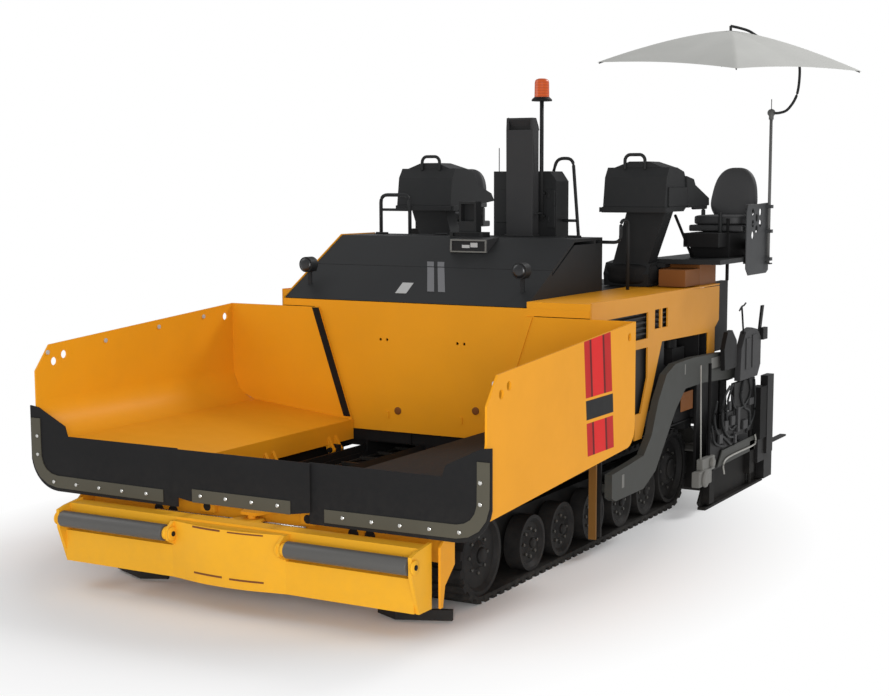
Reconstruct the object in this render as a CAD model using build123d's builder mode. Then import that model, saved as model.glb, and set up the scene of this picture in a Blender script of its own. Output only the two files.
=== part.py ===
from build123d import *
import math
import os

# Tracked asphalt paver with a floating screed, in millimetres.
# +Z is up, -Y is the front (hopper) end, +X is the machine's left side.
# Sizes below are measured from the tractor's centre line. Each finished piece is moved by
# MID_X and MID_Y, which puts the origin on the ground in the middle of the whole, umbrella included.

os.makedirs("parts", exist_ok=True)

# Clearances used wherever one piece meets another
SEAT = 0.3        # between pieces bolted to each other
RUN = 6.0         # between pieces that move past each other
PIN_PLAY = 0.3    # radial play of a pin in its lug

# Middle of the overall width and length, from the centre line and from halfway along the tractor
MID_X = 289.0
MID_Y = 189.0

# Hopper: wings, fixed rear wall and aprons
HOPPER_FRONT = -2880.0
WING_REAR = -650.0
WING_HALF = 1800.0
SHEET = 14.0
WING_TOP_REAR = 1773.0
WING_TOP_FRONT = 1622.0
WING_CHAMFER_Y = -2743.0
WING_NOSE_Z = 1448.0
SKIRT_FRONT_Z = 752.0
SKIRT_REAR_Z = 879.0
WING_BEND = 255.0
BEND_TOP_Z = 1240.0
CORNER_R = 150.0
FLOOR_INNER_X = 615.0
FLOOR_INNER_Z = 890.0
SEAM_TOP_X = 926.0
SEAM_BOTTOM_X = 621.0
SEAM_BOTTOM_Z = 884.0
DROP_BOTTOM_Z = 735.0
HINGE_X = 590.0
HINGE_Z = 700.0
HINGE_PIN_R = 20.0
HINGE_YS = (-2560.0, -1765.0, -950.0)
WALL_FRONT = -640.0
WALL_LOW_Z = 830.0
APRON_TOP_Z = 1008.0
APRON_LOW_Z = 672.0
APRON_SEAM_X = 531.0
APRON_EDGE_X = 1848.0
RUBBER = 14.0

# Push beam across the front
BEAM_HALF = 1414.0
ROLLER_INNER_X = 459.0
ROLLER_R = 72.0
ROLLER_Y = -3078.0
ROLLER_Z = 481.0
BEAM_LOW_Z = 183.0
BEAM_SHELF_Z = 396.0
BEAM_TOP_Z = 575.0
BEAM_FRONT = -3045.0
BEAM_BACK = -2872.0
BEAM_PIVOT_Y = -2790.0

# Main frame and rubber tracks
FRAME_X = 545.0
FRAME_LOW = 330.0
FRAME_TOP = 690.0
FRAME_FRONT = -2700.0
FRAME_REAR = 1640.0
BELT_OUT_X = 1330.0
BELT_IN_X = 870.0
BELT_T = 24.0
LUG_T = 26.0
LUG_PITCH = 106.0
LUG_SHARE = 0.5
RIM_LOW = BELT_T + LUG_T
IDLER_Y = -2055.0
IDLER_R = 270.0
DRIVE_Y = 1303.0
DRIVE_R = 290.0
BOGIE_R = 198.0
BOGIE_YS = (-1311.0, -824.0, -280.0, 257.0, 755.0)

# Body, hood and platform
BODY_X = 1450.0
SHOULDER_Z = 1889.0
BODY_REAR = 2060.0
HOOD_RIGHT_X = -1273.0
HOOD_LEFT_X = 914.0
HOOD_LOW = (-636.0, 1837.0)
HOOD_FOLD_Y = -190.0
HOOD_TOP = (205.0, 2315.0)
LID_REAR = 560.0
HOOD_REAR = 735.0
SKIN = 20.0
RIGHT_CHEEK_X = HOOD_RIGHT_X - 14.0
RIGHT_SIDE_FRONT = -430.0
CABINET_DOOR_Y = 860.0
POLE = (325.0, 800.0)
POLE_TOP = 3452.0

# Screed, tow arms and augers
TOW_Y = -362.0
TOW_Z = 478.0
ARM_X0 = 1472.0
ARM_X1 = 1532.0
SCREED_FRONT = 2080.0
SCREED_REAR = 2480.0
SCREED_HALF = 1500.0
EXT_REAR = 2820.0
GATE_X = 1548.0
AUGER_Y = 1860.0
AUGER_Z = 440.0
AUGER_R = 195.0
AUGER_SHAFT_R = 38.0
LIFT_TOP = (1700.0, 1640.0)
LIFT_EYE = (2250.0, 640.0)
LIFT_X = 1250.0
LIFT_PIN_R = 20.0
EYE_PLAY = 6.6


# Plate cut to an outline (y, z) and lying between two x values
def plate_x(outline, x0, x1, mode=Mode.ADD):
    with BuildSketch(Plane.YZ.offset(x0)) as face:
        with BuildLine():
            Polyline(*outline, close=True)
        make_face()
    extrude(face.sketch, amount=x1 - x0, mode=mode)


# Plate cut to an outline (x, z) and lying between two y values
def plate_y(outline, y0, y1, mode=Mode.ADD):
    with BuildSketch(Plane.XZ.offset(-y1)) as face:
        with BuildLine():
            Polyline(*outline, close=True)
        make_face()
    extrude(face.sketch, amount=y1 - y0, mode=mode)


# Plate cut to an outline (x, y) and lying between two heights
def plate_z(outline, z0, z1, mode=Mode.ADD):
    with BuildSketch(Plane.XY.offset(z0)) as face:
        with BuildLine():
            Polyline(*outline, close=True)
        make_face()
    extrude(face.sketch, amount=z1 - z0, mode=mode)


# Straight bar between two opposite corners
def bar(x0, x1, y0, y1, z0, z1, mode=Mode.ADD):
    with BuildSketch(Plane.XY.offset(z0)) as face:
        with Locations(((x0 + x1) / 2, (y0 + y1) / 2)):
            Rectangle(x1 - x0, y1 - y0)
    extrude(face.sketch, amount=z1 - z0, mode=mode)


# Round bar, or a round hole with Mode.SUBTRACT, from one point to another
def rod(start, end, radius, mode=Mode.ADD):
    axis = Vector(*end) - Vector(*start)
    with BuildSketch(Plane(origin=start, z_dir=axis)) as face:
        Circle(radius)
    extrude(face.sketch, amount=axis.length, mode=mode)


# Bent tube along a rounded path
def tube(points, radius, bend):
    with BuildLine() as path:
        FilletPolyline(*points, radius=bend)
    with BuildSketch(Plane(origin=path.line @ 0, z_dir=path.line % 0)) as face:
        Circle(radius)
    sweep(face.sketch, path=path.line)


# The same piece on the machine's right side
def mirrored(piece):
    with BuildPart() as other:
        mirror(piece, about=Plane.YZ)
    return other


def save(builder, name):
    builder.part.label = name
    placed = builder.part.moved(Location((-MID_X, -MID_Y, 0)))
    export_step(placed, f"parts/{name}.step")


# Yellow cross member behind the push beam, with its gussets and the bracket and pin of the beam
FRAME_PLATE = 20.0


def build_crossmember():
    back = FRAME_FRONT + FRAME_PLATE
    with BuildPart() as member:
        bar(0, 1450, FRAME_FRONT, back, 480, 640)
        plate_z([(FRAME_X + 40, back), (1380, back), (FRAME_X + 40, FRAME_FRONT + 180)], 600, 620)
        mirror(about=Plane.YZ)
        for z in (480.0, 600.0):
            plate_z([(-110, FRAME_FRONT), (110, FRAME_FRONT), (60, -2830), (-60, -2830)], z, z + 20)
        rod((0, BEAM_PIVOT_Y, 480), (0, BEAM_PIVOT_Y, 620), 28)
    save(member, "front_crossmember")


# Main frame: two long side plates, cross members, the hopper's hinge brackets and the outriggers
def build_main_frame():
    plate = FRAME_PLATE
    web_low = 560.0
    outrigger = (-540.0, -390.0, 665.0, 738.0)
    rear_wall = (1600.0, 1620.0)
    with BuildPart() as frame:
        bar(FRAME_X - plate, FRAME_X, FRAME_FRONT + plate + SEAT, FRAME_REAR, FRAME_LOW, FRAME_TOP)
        for y in (-2450.0, -1500.0, -400.0, 700.0, 1600.0):
            bar(0, FRAME_X - plate - SEAT, y - 30, y + 30, FRAME_LOW, FRAME_LOW + 70)
        y0, y1, z0, z1 = outrigger
        rear = rear_wall[0] - SEAT
        bar(FRAME_X, 1398, y0, y1, z0, z1)
        bar(FRAME_X, 1380, 1440, rear, z0, z1)
        bar(0, 1434, *rear_wall, FRAME_TOP + SEAT, 1865)
        bar(FRAME_X - plate, 1396, y0, rear, z1, z1 + 12)
        bar(860, 880, 640, rear, z1 + 12, 1849)
        for y in HINGE_YS:
            plate_y([(FRAME_X, web_low), (FRAME_X, 735), (HINGE_X + 25, 735), (HINGE_X + 34, 700),
                     (HINGE_X + 20, 668)], y - 20, y + 20)
            rod((HINGE_X, y - 85, HINGE_Z), (HINGE_X, y + 85, HINGE_Z), HINGE_PIN_R)
        for x in (LIFT_X - 70, LIFT_X + 50):
            plate_x([(rear_wall[1], 1560), (rear_wall[1], 1720), (1700, 1690), (1745, 1640),
                     (1700, 1590)], x, x + 20)
        rod((LIFT_X - 70, *LIFT_TOP), (LIFT_X + 70, *LIFT_TOP), LIFT_PIN_R)
        mirror(about=Plane.YZ)
    save(frame, "main_frame")


# Rubber belt loop around the idler, the bogie wheels and the drive wheel, with its lugs in the outline
def belt_point(s, lengths, rise):
    idler_z = RIM_LOW + IDLER_R
    drive_z = RIM_LOW + DRIVE_R
    slope = math.atan2(drive_z - idler_z + DRIVE_R - IDLER_R, DRIVE_Y - IDLER_Y)
    bottom, drive_arc, top, idler_arc = lengths
    if s < bottom:
        return IDLER_Y + s, RIM_LOW - rise
    s -= bottom
    if s < drive_arc:
        angle = -math.pi / 2 + s / drive_arc * (math.pi + slope)
        r = DRIVE_R + rise
        return DRIVE_Y + r * math.cos(angle), drive_z + r * math.sin(angle)
    s -= drive_arc
    if s < top:
        angle = math.pi / 2 + slope
        t = s / top
        r = DRIVE_R * (1 - t) + IDLER_R * t + rise
        y = DRIVE_Y * (1 - t) + IDLER_Y * t
        z = drive_z * (1 - t) + idler_z * t
        return y + r * math.cos(angle), z + r * math.sin(angle)
    s -= top
    angle = math.pi / 2 + slope + s / idler_arc * (math.pi - slope)
    r = IDLER_R + rise
    return IDLER_Y + r * math.cos(angle), idler_z + r * math.sin(angle)


def build_tracks():
    run = DRIVE_Y - IDLER_Y
    slope = math.atan2(2 * (DRIVE_R - IDLER_R), run)
    lengths = (run, DRIVE_R * (math.pi + slope), run, IDLER_R * (math.pi - slope))
    total = sum(lengths)
    count = round(total / LUG_PITCH)
    pitch = total / count
    outer = []
    for i in range(count):
        for share, rise in ((0.0, BELT_T), (0.0, BELT_T + LUG_T), (LUG_SHARE, BELT_T + LUG_T),
                            (LUG_SHARE, BELT_T)):
            outer.append(belt_point((i + 0.25 + share) * pitch, lengths, rise))
    idler = (IDLER_Y, RIM_LOW + IDLER_R)
    drive = (DRIVE_Y, RIM_LOW + DRIVE_R)
    turn = math.pi / 2 + slope
    reach = Vector(math.cos(turn), math.sin(turn))
    with BuildPart() as left:
        plate_x(outer, BELT_IN_X, BELT_OUT_X)
        with BuildSketch(Plane.YZ.offset(BELT_IN_X)) as inside:
            with Locations(idler):
                Circle(IDLER_R)
            with Locations(drive):
                Circle(DRIVE_R)
            with BuildLine():
                Polyline((idler[0], RIM_LOW), (drive[0], RIM_LOW),
                         (drive[0] + DRIVE_R * reach.X, drive[1] + DRIVE_R * reach.Y),
                         (idler[0] + IDLER_R * reach.X, idler[1] + IDLER_R * reach.Y), close=True)
            make_face()
        extrude(inside.sketch, amount=BELT_OUT_X - BELT_IN_X, mode=Mode.SUBTRACT)
    save(left, "track_left")
    save(mirrored(left.part), "track_right")


# Wheels inside each belt. Columns: centre y, rim radius, hub radius, dish depth
WHEELS = [(IDLER_Y, IDLER_R, 70.0, 30.0), (DRIVE_Y, DRIVE_R, 110.0, 40.0)]
WHEELS += [(y, BOGIE_R, 48.0, 26.0) for y in BOGIE_YS]
WHEEL_GAP = 0.4
DISC_IN = (885.0, 1010.0)
DISC_OUT = (1190.0, 1315.0)
BEAM_X = (1045.0, 1155.0)


def wheel_half(centre_y, rim, hub, dish, x0, x1, outward):
    z = RIM_LOW + rim
    r = rim - WHEEL_GAP
    face_x = x1 if outward > 0 else x0
    inner_x = face_x - outward * dish
    with BuildSketch(Plane(origin=(0, centre_y, z), x_dir=(1, 0, 0), z_dir=(0, -1, 0))) as section:
        with BuildLine():
            if outward > 0:
                Polyline((x0, 0), (x0, r), (x1, r), (x1, r - 28), (inner_x, r - 52),
                         (inner_x, hub + 30), (x1 - 6, hub), (x1 - 6, 0), close=True)
            else:
                Polyline((x1, 0), (x1, r), (x0, r), (x0, r - 28), (inner_x, r - 52),
                         (inner_x, hub + 30), (x0 + 6, hub), (x0 + 6, 0), close=True)
        make_face()
    revolve(section.sketch, axis=Axis((0, centre_y, z), (1, 0, 0)))


def build_wheels():
    with BuildPart() as wheels:
        for centre_y, rim, hub, dish in WHEELS:
            z = RIM_LOW + rim
            wheel_half(centre_y, rim, hub, dish, *DISC_OUT, 1)
            wheel_half(centre_y, rim, hub, dish, *DISC_IN, -1)
            rod((DISC_IN[1] - 5, centre_y, z), (DISC_OUT[0] + 5, centre_y, z), 34)
        mirror(about=Plane.YZ)
    save(wheels, "track_wheels")


# Track frames: a box beam between the twin wheels, with pivoted bogie beams and cross tubes
def build_track_frames():
    low = 215.0
    high = 470.0
    with BuildPart() as frames:
        plate_x([(-2140, 285), (-2140, 350), (-1900, 430), (-1500, high), (850, high), (1050, 520),
                 (1440, 520), (1440, 260), (1000, 250), (900, low), (-1450, low), (-1900, 270)],
                *BEAM_X)
        for y in (-1700.0, 965.0):
            bar(FRAME_X + SEAT, BEAM_X[0], y - 40, y + 40, 370, 450)
        for centre_y, rim, hub, dish in WHEELS:
            z = RIM_LOW + rim
            rod((BEAM_X[0] - 30, centre_y, z), (BEAM_X[1] + 30, centre_y, z), 58)
            rod((BEAM_X[0] - 40, centre_y, z), (BEAM_X[1] + 40, centre_y, z), 34 + SEAT,
                Mode.SUBTRACT)
        mirror(about=Plane.YZ)
    save(frames, "track_frames")


# Fixed rear wall of the hopper: sheet between the two slanted seams, with lugs and sight holes
def build_rear_wall():
    back = WALL_FRONT + SHEET
    lap = 55.0
    with BuildPart() as wall:
        plate_y([(0, WALL_LOW_Z), (SEAM_BOTTOM_X + lap, WALL_LOW_Z), (SEAM_TOP_X + lap, WING_TOP_REAR + 4),
                 (1434, WING_TOP_REAR + 4), (1434, 1832), (0, 1832)], WALL_FRONT, back)
        bar(0, SEAM_BOTTOM_X + lap - 20, WALL_FRONT, back + 60, WALL_LOW_Z - 12, WALL_LOW_Z)
        mirror(about=Plane.YZ)
        bar(-1434, RIGHT_CHEEK_X, WALL_FRONT - 5, back + 5, WING_TOP_REAR + 4, 1840, Mode.SUBTRACT)
        bar(RIGHT_CHEEK_X, HOOD_LEFT_X - 6, back, back + 40, 1820, 1832)
        for x, z in ((-360.0, 1540.0), (-300.0, 1540.0), (330.0, 1540.0), (390.0, 1540.0)):
            rod((x, WALL_FRONT - 10, z), (x, back + 10, z), 12, Mode.SUBTRACT)
        for x in (-300.0, 360.0):
            bar(x - 14, x + 14, WALL_FRONT - 8, WALL_FRONT, 925, 975)
    save(wall, "hopper_rear_wall")


# Fixed skirt and tunnel mouth under the rear wall, and the guard over the conveyor drives
def build_tunnel():
    top = WALL_LOW_Z - 12 - SEAT
    with BuildPart() as tunnel:
        bar(72, FRAME_X - 30, -600, 1590, 716, 728)
        bar(FRAME_X - 42, FRAME_X - 30, -620, 1590, 480, 728)
        bar(FRAME_X - 42, FRAME_X - 30, -2500, -620, 560, 640)
        bar(60, FRAME_X - 42, -2480, 1480, 577, 585)
        plate_y([(100, 728), (640, 728), (660, top), (100, top)], -620, -606)
        mirror(about=Plane.YZ)
        plate_y([(-60, 470), (60, 470), (60, 640), (0, 730), (-60, 640)], -2660, 1590)
        bar(-72, 72, -600, 1590, 640, 728)
        bar(-660, 660, -606, -594, 728, top)
    save(tunnel, "conveyor_tunnel")


# Two slat conveyors: flat loops of chain with a slat at every pitch
def build_conveyors():
    loop_front = -2560.0
    loop_rear = 1560.0
    loop_r = 62.0
    axis_z = 545.0
    slat_pitch = 260.0
    with BuildPart() as conveyors:
        for x in (92.0, 470.0):
            bar(x, x + 22, loop_front, loop_rear, axis_z + loop_r - 14, axis_z + loop_r)
            bar(x, x + 22, loop_front, loop_rear, axis_z - loop_r, axis_z - loop_r + 14)
            for y in (loop_front, loop_rear):
                with BuildSketch(Plane.YZ.offset(x)) as sprocket:
                    with Locations((y, axis_z)):
                        RegularPolygon(loop_r, 12)
                extrude(sprocket.sketch, amount=22)
        rod((92, loop_front, axis_z), (FRAME_X - FRAME_PLATE - SEAT, loop_front, axis_z), 30)
        rod((92, loop_rear, axis_z), (492, loop_rear, axis_z), 30)
        count = int((loop_rear - loop_front) / slat_pitch)
        for i in range(count + 1):
            y = loop_front + i * slat_pitch
            bar(92, 492, y - 16, y + 16, axis_z + loop_r - 14, axis_z + loop_r + 10)
            bar(92, 492, y - 16, y + 16, axis_z - loop_r - 10, axis_z - loop_r + 14)
        mirror(about=Plane.YZ)
    save(conveyors, "conveyors")


# Hopper wing: floor, big bend, outer plate, rear wall, ribs and hinge lugs
def build_wing():
    inner = WING_HALF - SHEET
    bend_x = inner - WING_BEND
    bend_z = BEND_TOP_Z - WING_BEND
    c45 = math.cos(math.radians(45))
    r_out = WING_BEND + SHEET
    corner_y = WING_REAR - CORNER_R
    corner_z = SKIRT_REAR_Z + CORNER_R
    with BuildPart() as wing:
        with BuildSketch(Plane.XZ.offset(-WING_REAR)) as liner:
            with BuildLine():
                Line((FLOOR_INNER_X, FLOOR_INNER_Z), (bend_x, bend_z))
                ThreePointArc((bend_x, bend_z),
                              (bend_x + WING_BEND * c45, BEND_TOP_Z - WING_BEND * c45),
                              (inner, BEND_TOP_Z))
                Line((inner, BEND_TOP_Z), (WING_HALF, BEND_TOP_Z))
                ThreePointArc((WING_HALF, BEND_TOP_Z),
                              (bend_x + r_out * c45, BEND_TOP_Z - r_out * c45),
                              (bend_x, bend_z - SHEET))
                Line((bend_x, bend_z - SHEET), (FLOOR_INNER_X, FLOOR_INNER_Z - SHEET))
                Line((FLOOR_INNER_X, FLOOR_INNER_Z - SHEET), (FLOOR_INNER_X, FLOOR_INNER_Z))
            make_face()
        extrude(liner.sketch, amount=WING_REAR - HOPPER_FRONT)
        with BuildSketch(Plane.YZ.offset(inner)) as side:
            with BuildLine():
                Polyline((corner_y, SKIRT_REAR_Z), (HOPPER_FRONT, SKIRT_FRONT_Z),
                         (HOPPER_FRONT, WING_NOSE_Z), (WING_CHAMFER_Y, WING_TOP_FRONT),
                         (WING_REAR, WING_TOP_REAR), (WING_REAR, corner_z))
                ThreePointArc((WING_REAR, corner_z),
                              (corner_y + CORNER_R * c45, corner_z - CORNER_R * c45),
                              (corner_y, SKIRT_REAR_Z))
            make_face()
            with Locations((-2700, 1500), (-2600, 1540), (-760, 1670)):
                Circle(30, mode=Mode.SUBTRACT)
        extrude(side.sketch, amount=SHEET)
        plate_y([(SEAM_BOTTOM_X, SEAM_BOTTOM_Z), (bend_x, bend_z - SHEET),
                 (bend_x + r_out * c45, BEND_TOP_Z - r_out * c45), (WING_HALF, BEND_TOP_Z),
                 (WING_HALF, WING_TOP_REAR), (SEAM_TOP_X, WING_TOP_REAR)],
                WING_REAR - SHEET, WING_REAR)
        bar(FLOOR_INNER_X, FLOOR_INNER_X + SHEET, HOPPER_FRONT, WING_REAR, DROP_BOTTOM_Z,
            FLOOR_INNER_Z - 2)
        for y in (HOPPER_FRONT, -1800.0, WING_REAR - 80):
            plate_y([(FLOOR_INNER_X, 760), (1330, 820), (bend_x + 120, bend_z + 20),
                     (bend_x, bend_z - 6), (FLOOR_INNER_X, FLOOR_INNER_Z - 6)], y, y + 12)
        for y in HINGE_YS:
            for gap in (-62.0, 32.0):
                plate_y([(FLOOR_INNER_X, 800), (FLOOR_INNER_X + 60, 800), (HINGE_X + 34, 700),
                         (HINGE_X + 22, 672), (HINGE_X - 22, 672), (HINGE_X - 32, 700),
                         (HINGE_X - 10, 735)], y + gap, y + gap + 30)
            rod((HINGE_X, y - 90, HINGE_Z), (HINGE_X, y + 90, HINGE_Z), HINGE_PIN_R + PIN_PLAY,
                Mode.SUBTRACT)
    save(wing, "wing_left")
    save(mirrored(wing.part), "wing_right")


# Rubber of a wing: front apron with rounded lower corner, and the strip along the slanted seam
def build_wing_rubber():
    back = HOPPER_FRONT - SEAT
    low = APRON_LOW_Z + 16
    with BuildPart() as rubber:
        with BuildSketch(Plane.XZ.offset(-back)) as apron:
            with BuildLine():
                Polyline((APRON_SEAM_X, low - 16), (APRON_SEAM_X, APRON_TOP_Z), (1500, APRON_TOP_Z),
                         (1522, 1078), (1765, 1196), (APRON_EDGE_X, 1206), (APRON_EDGE_X, 900))
                ThreePointArc((APRON_EDGE_X, 900), (1766, 752), (1620, low))
                Line((1620, low), (APRON_SEAM_X, low - 16))
            make_face()
        extrude(apron.sketch, amount=RUBBER)
        front = WING_REAR - SHEET - SEAT
        dx = (SEAM_TOP_X - SEAM_BOTTOM_X) / (WING_TOP_REAR - SEAM_BOTTOM_Z)
        z0 = SEAM_BOTTOM_Z + 30
        x0 = SEAM_BOTTOM_X + 30 * dx + 2
        z1 = WING_TOP_REAR - 4
        x1 = SEAM_BOTTOM_X + (z1 - SEAM_BOTTOM_Z) * dx + 2
        plate_y([(x0, z0), (x0 + 62, z0), (x1 + 62, z1), (x1, z1)], front - 8, front)
    save(rubber, "wing_rubber_left")
    save(mirrored(rubber.part), "wing_rubber_right")


# Centre apron hung in front of the conveyors, between the wing rubbers
def build_centre_apron():
    back = HOPPER_FRONT - SEAT - RUBBER - RUN - 2
    half = APRON_SEAM_X + 22
    with BuildPart() as apron:
        plate_y([(-half, APRON_LOW_Z + 6), (-430, 618), (430, 618), (half, APRON_LOW_Z + 6),
                 (half, APRON_TOP_Z - 2), (-half, APRON_TOP_Z - 2)], back - RUBBER, back)
        for x in (-360.0, 360.0):
            bar(x - 30, x + 30, back, FRAME_FRONT - SEAT, 622, 640)
    save(apron, "centre_apron")


# Push beam that swings on its centre pin, with a roller seat at each side
def build_push_beam():
    end = 24.0
    inner = ROLLER_INNER_X - 4
    step_y = BEAM_FRONT + 51
    with BuildPart() as beam:
        plate_x([(BEAM_FRONT, BEAM_LOW_Z), (BEAM_FRONT, BEAM_SHELF_Z), (step_y, BEAM_SHELF_Z + 6),
                 (step_y, BEAM_TOP_Z), (BEAM_BACK, BEAM_TOP_Z), (BEAM_BACK, BEAM_LOW_Z)], 0,
                BEAM_HALF - end)
        plate_x([(BEAM_FRONT + 25, BEAM_LOW_Z - 6), (BEAM_FRONT - 60, BEAM_SHELF_Z + 24),
                 (ROLLER_Y - 30, BEAM_TOP_Z - 30), (ROLLER_Y + 40, BEAM_TOP_Z - 10),
                 (BEAM_BACK, BEAM_TOP_Z + 15), (BEAM_BACK, BEAM_LOW_Z - 6)], BEAM_HALF - end, BEAM_HALF)
        with BuildSketch(Plane.XY.offset(BEAM_LOW_Z)) as bow:
            with BuildLine():
                Line((0, BEAM_BACK), (inner, BEAM_BACK))
                Line((inner, BEAM_BACK), (inner, BEAM_FRONT))
                Line((inner, BEAM_FRONT), (330, BEAM_FRONT - 22))
                ThreePointArc((330, BEAM_FRONT - 22), (170, BEAM_FRONT - 48), (0, BEAM_FRONT - 56))
                Line((0, BEAM_FRONT - 56), (0, BEAM_BACK))
            make_face()
        extrude(bow.sketch, amount=BEAM_TOP_Z - 15 - BEAM_LOW_Z)
        plate_x([(BEAM_FRONT, BEAM_SHELF_Z + 4), (ROLLER_Y - 34, BEAM_SHELF_Z + 44),
                 (ROLLER_Y - 34, BEAM_TOP_Z - 55), (ROLLER_Y + 20, BEAM_TOP_Z - 15),
                 (step_y + 4, BEAM_TOP_Z - 15)], inner - 22, inner)
        mirror(about=Plane.YZ)
        for z in (506.0, 555.0):
            plate_z([(-120, BEAM_BACK), (120, BEAM_BACK), (70, -2745), (-70, -2745)], z, z + 20)
        rod((0, BEAM_PIVOT_Y, 500), (0, BEAM_PIVOT_Y, 620), 28 + PIN_PLAY, Mode.SUBTRACT)
        for z in (BEAM_LOW_Z, 553.0):
            for x in (-200.0, 200.0):
                bar(x - 90, x + 90, BEAM_FRONT - 22, BEAM_FRONT - 10, z - 1, z + 8, Mode.SUBTRACT)
        for x in (ROLLER_INNER_X, BEAM_HALF - end):
            for side in (-1, 1):
                rod((side * (x - 26), ROLLER_Y, ROLLER_Z), (side * (x + 26), ROLLER_Y, ROLLER_Z),
                    16 + PIN_PLAY, Mode.SUBTRACT)
    save(beam, "push_beam")


# Push roller with its journals
def build_rollers():
    end = 24.0
    with BuildPart() as roller:
        rod((ROLLER_INNER_X + RUN, ROLLER_Y, ROLLER_Z), (BEAM_HALF - end - RUN, ROLLER_Y, ROLLER_Z),
            ROLLER_R)
        rod((ROLLER_INNER_X - 20, ROLLER_Y, ROLLER_Z), (BEAM_HALF - 4, ROLLER_Y, ROLLER_Z), 16)
    save(roller, "push_roller_left")
    save(mirrored(roller.part), "push_roller_right")


# Ploughs that clear the ground ahead of each track
def build_scrapers():
    centre = 1082.0
    half = 268.0
    with BuildPart() as scrapers:
        plate_z([(centre - half, -2510), (centre - half, -2540), (centre, -2650), (centre + half, -2540),
                 (centre + half, -2510), (centre, -2620)], 33, 190)
        bar(centre - 40, centre + 40, -2660, -2630, 120, 480)
        bar(centre - 40, centre + 40, FRAME_FRONT + 20 + SEAT, -2630, 440, 598)
        mirror(about=Plane.YZ)
    save(scrapers, "track_scrapers")


# Engine as one plain block at its real place, with the pumps and valve blocks in the open bays
def build_engine():
    centre_x = (HOOD_LEFT_X + HOOD_RIGHT_X) / 2
    floor = 750 + SEAT
    with BuildPart() as engine:
        bar(900, 1380, 1180, 1560, floor, 1200)
        rod((960, 900, 1150), (1390, 900, 1150), 130)
        rod((960, 900, 1150), (1330, 900, 1150), 160)
        bar(900, 1300, 760, 1040, floor, 1060)
        bar(1040, 1360, 1180, 1460, 1200, 1380)
        rod((1300, 1270, 1380), (1300, 1270, 1450), 60)
        mirror(about=Plane.YZ)
        bar(centre_x - 390, centre_x + 390, -420, 620, floor, 1760)
    save(engine, "engine_and_pumps")


# Yellow body sides with the shoulders beside the hood, the louvre windows and the two pillars
def body_side(shoulder_x, front):
    t = 14.0
    plate_x([(front, SHOULDER_Z), (BODY_REAR, SHOULDER_Z - 30), (BODY_REAR, 1560), (1960, 1500),
             (1960, 1051), (1800, 1051), (1800, 1470), (727, 1489), (330, 756), (190, 756),
             (190, 900), (front + 30, 900), (front, 1000)], BODY_X - t, BODY_X)
    plate_z([(shoulder_x, front), (BODY_X, front), (BODY_X, BODY_REAR),
             (shoulder_x, BODY_REAR)], SHOULDER_Z - 22, SHOULDER_Z - 8)
    bar(shoulder_x, BODY_X, front, front + t, 1832 + SEAT, SHOULDER_Z - 10)
    bar(HOOD_LEFT_X + 40, 1420, 1640, 2040, SHOULDER_Z - 8, 2060)
    # Windows. Columns: front y, rear y, low z, high z
    for y0, y1, z0, z1 in ((-415.0, 431.0, 1540.0, 1746.0), (570.0, 690.0, 1600.0, 1755.0),
                           (728.0, 848.0, 1600.0, 1755.0)):
        bar(BODY_X - t - 5, BODY_X + 5, y0, y1, z0, z1, Mode.SUBTRACT)
    plate_x([(-480, 960), (300, 960), (431, 1230), (431, 1470), (-480, 1470)], BODY_X - t - 5,
            BODY_X + 5, Mode.SUBTRACT)


def build_body():
    cheek = 6.0
    proud = 8.0
    front = WALL_FRONT + 2
    with BuildPart() as right:
        body_side(-RIGHT_CHEEK_X - cheek, RIGHT_SIDE_FRONT)
        plate_x([(front, 1832 + SEAT), (front, hood_z(front) + proud), (HOOD_TOP[0], HOOD_TOP[1] + proud),
                 (HOOD_REAR, HOOD_TOP[1] + proud), (HOOD_REAR, SHOULDER_Z - 20),
                 (RIGHT_SIDE_FRONT, SHOULDER_Z - 20), (RIGHT_SIDE_FRONT, 1832 + SEAT)],
                -RIGHT_CHEEK_X - cheek, -RIGHT_CHEEK_X)
    with BuildPart() as sides:
        body_side(HOOD_LEFT_X + 8, WALL_FRONT)
        add(mirrored(right.part).part)
    save(sides, "body_sides")


# Louvre screens behind the body windows: a frame with slanted slats
def build_louvres():
    x1 = BODY_X - 14 - SEAT
    with BuildPart() as louvres:
        bar(x1 - 30, x1 - 22, -450, 862, 940, 1800)
        for y0, y1, z0, z1, step in ((-440.0, 456.0, 1530.0, 1756.0, 44.0),
                                     (556.0, 862.0, 1592.0, 1764.0, 40.0)):
            for z in (z0, z1 - 10):
                bar(x1 - 24, x1, y0, y1, z, z + 10)
            count = int((z1 - z0) / step)
            for i in range(1, count):
                z = z0 + i * step
                plate_y([(x1 - 24, z + 14), (x1 - 24, z + 22), (x1, z + 8), (x1, z)], y0, y1)
        bar(x1 - 24, x1, -490, 445, 1474, 1500)
        mirror(about=Plane.YZ)
    save(louvres, "louvre_screens")


# Lid hinge on top of the hood: knuckles in pairs along one axis above the gap
KNUCKLE = 60.0
KNUCKLE_R = 9.0
KNUCKLE_XS = (-1100.0, -500.0, 740.0)
LID_HINGE = (LID_REAR + RUN / 2, HOOD_TOP[1] + KNUCKLE_R)


# Hood: fixed cowl with side cheeks, lower slope and rear crossing, and headlamps on brackets
def hood_z(y):
    rise = (HOOD_TOP[1] - HOOD_LOW[1]) / (HOOD_TOP[0] - HOOD_LOW[0])
    return HOOD_LOW[1] + (y - HOOD_LOW[0]) * rise


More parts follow.
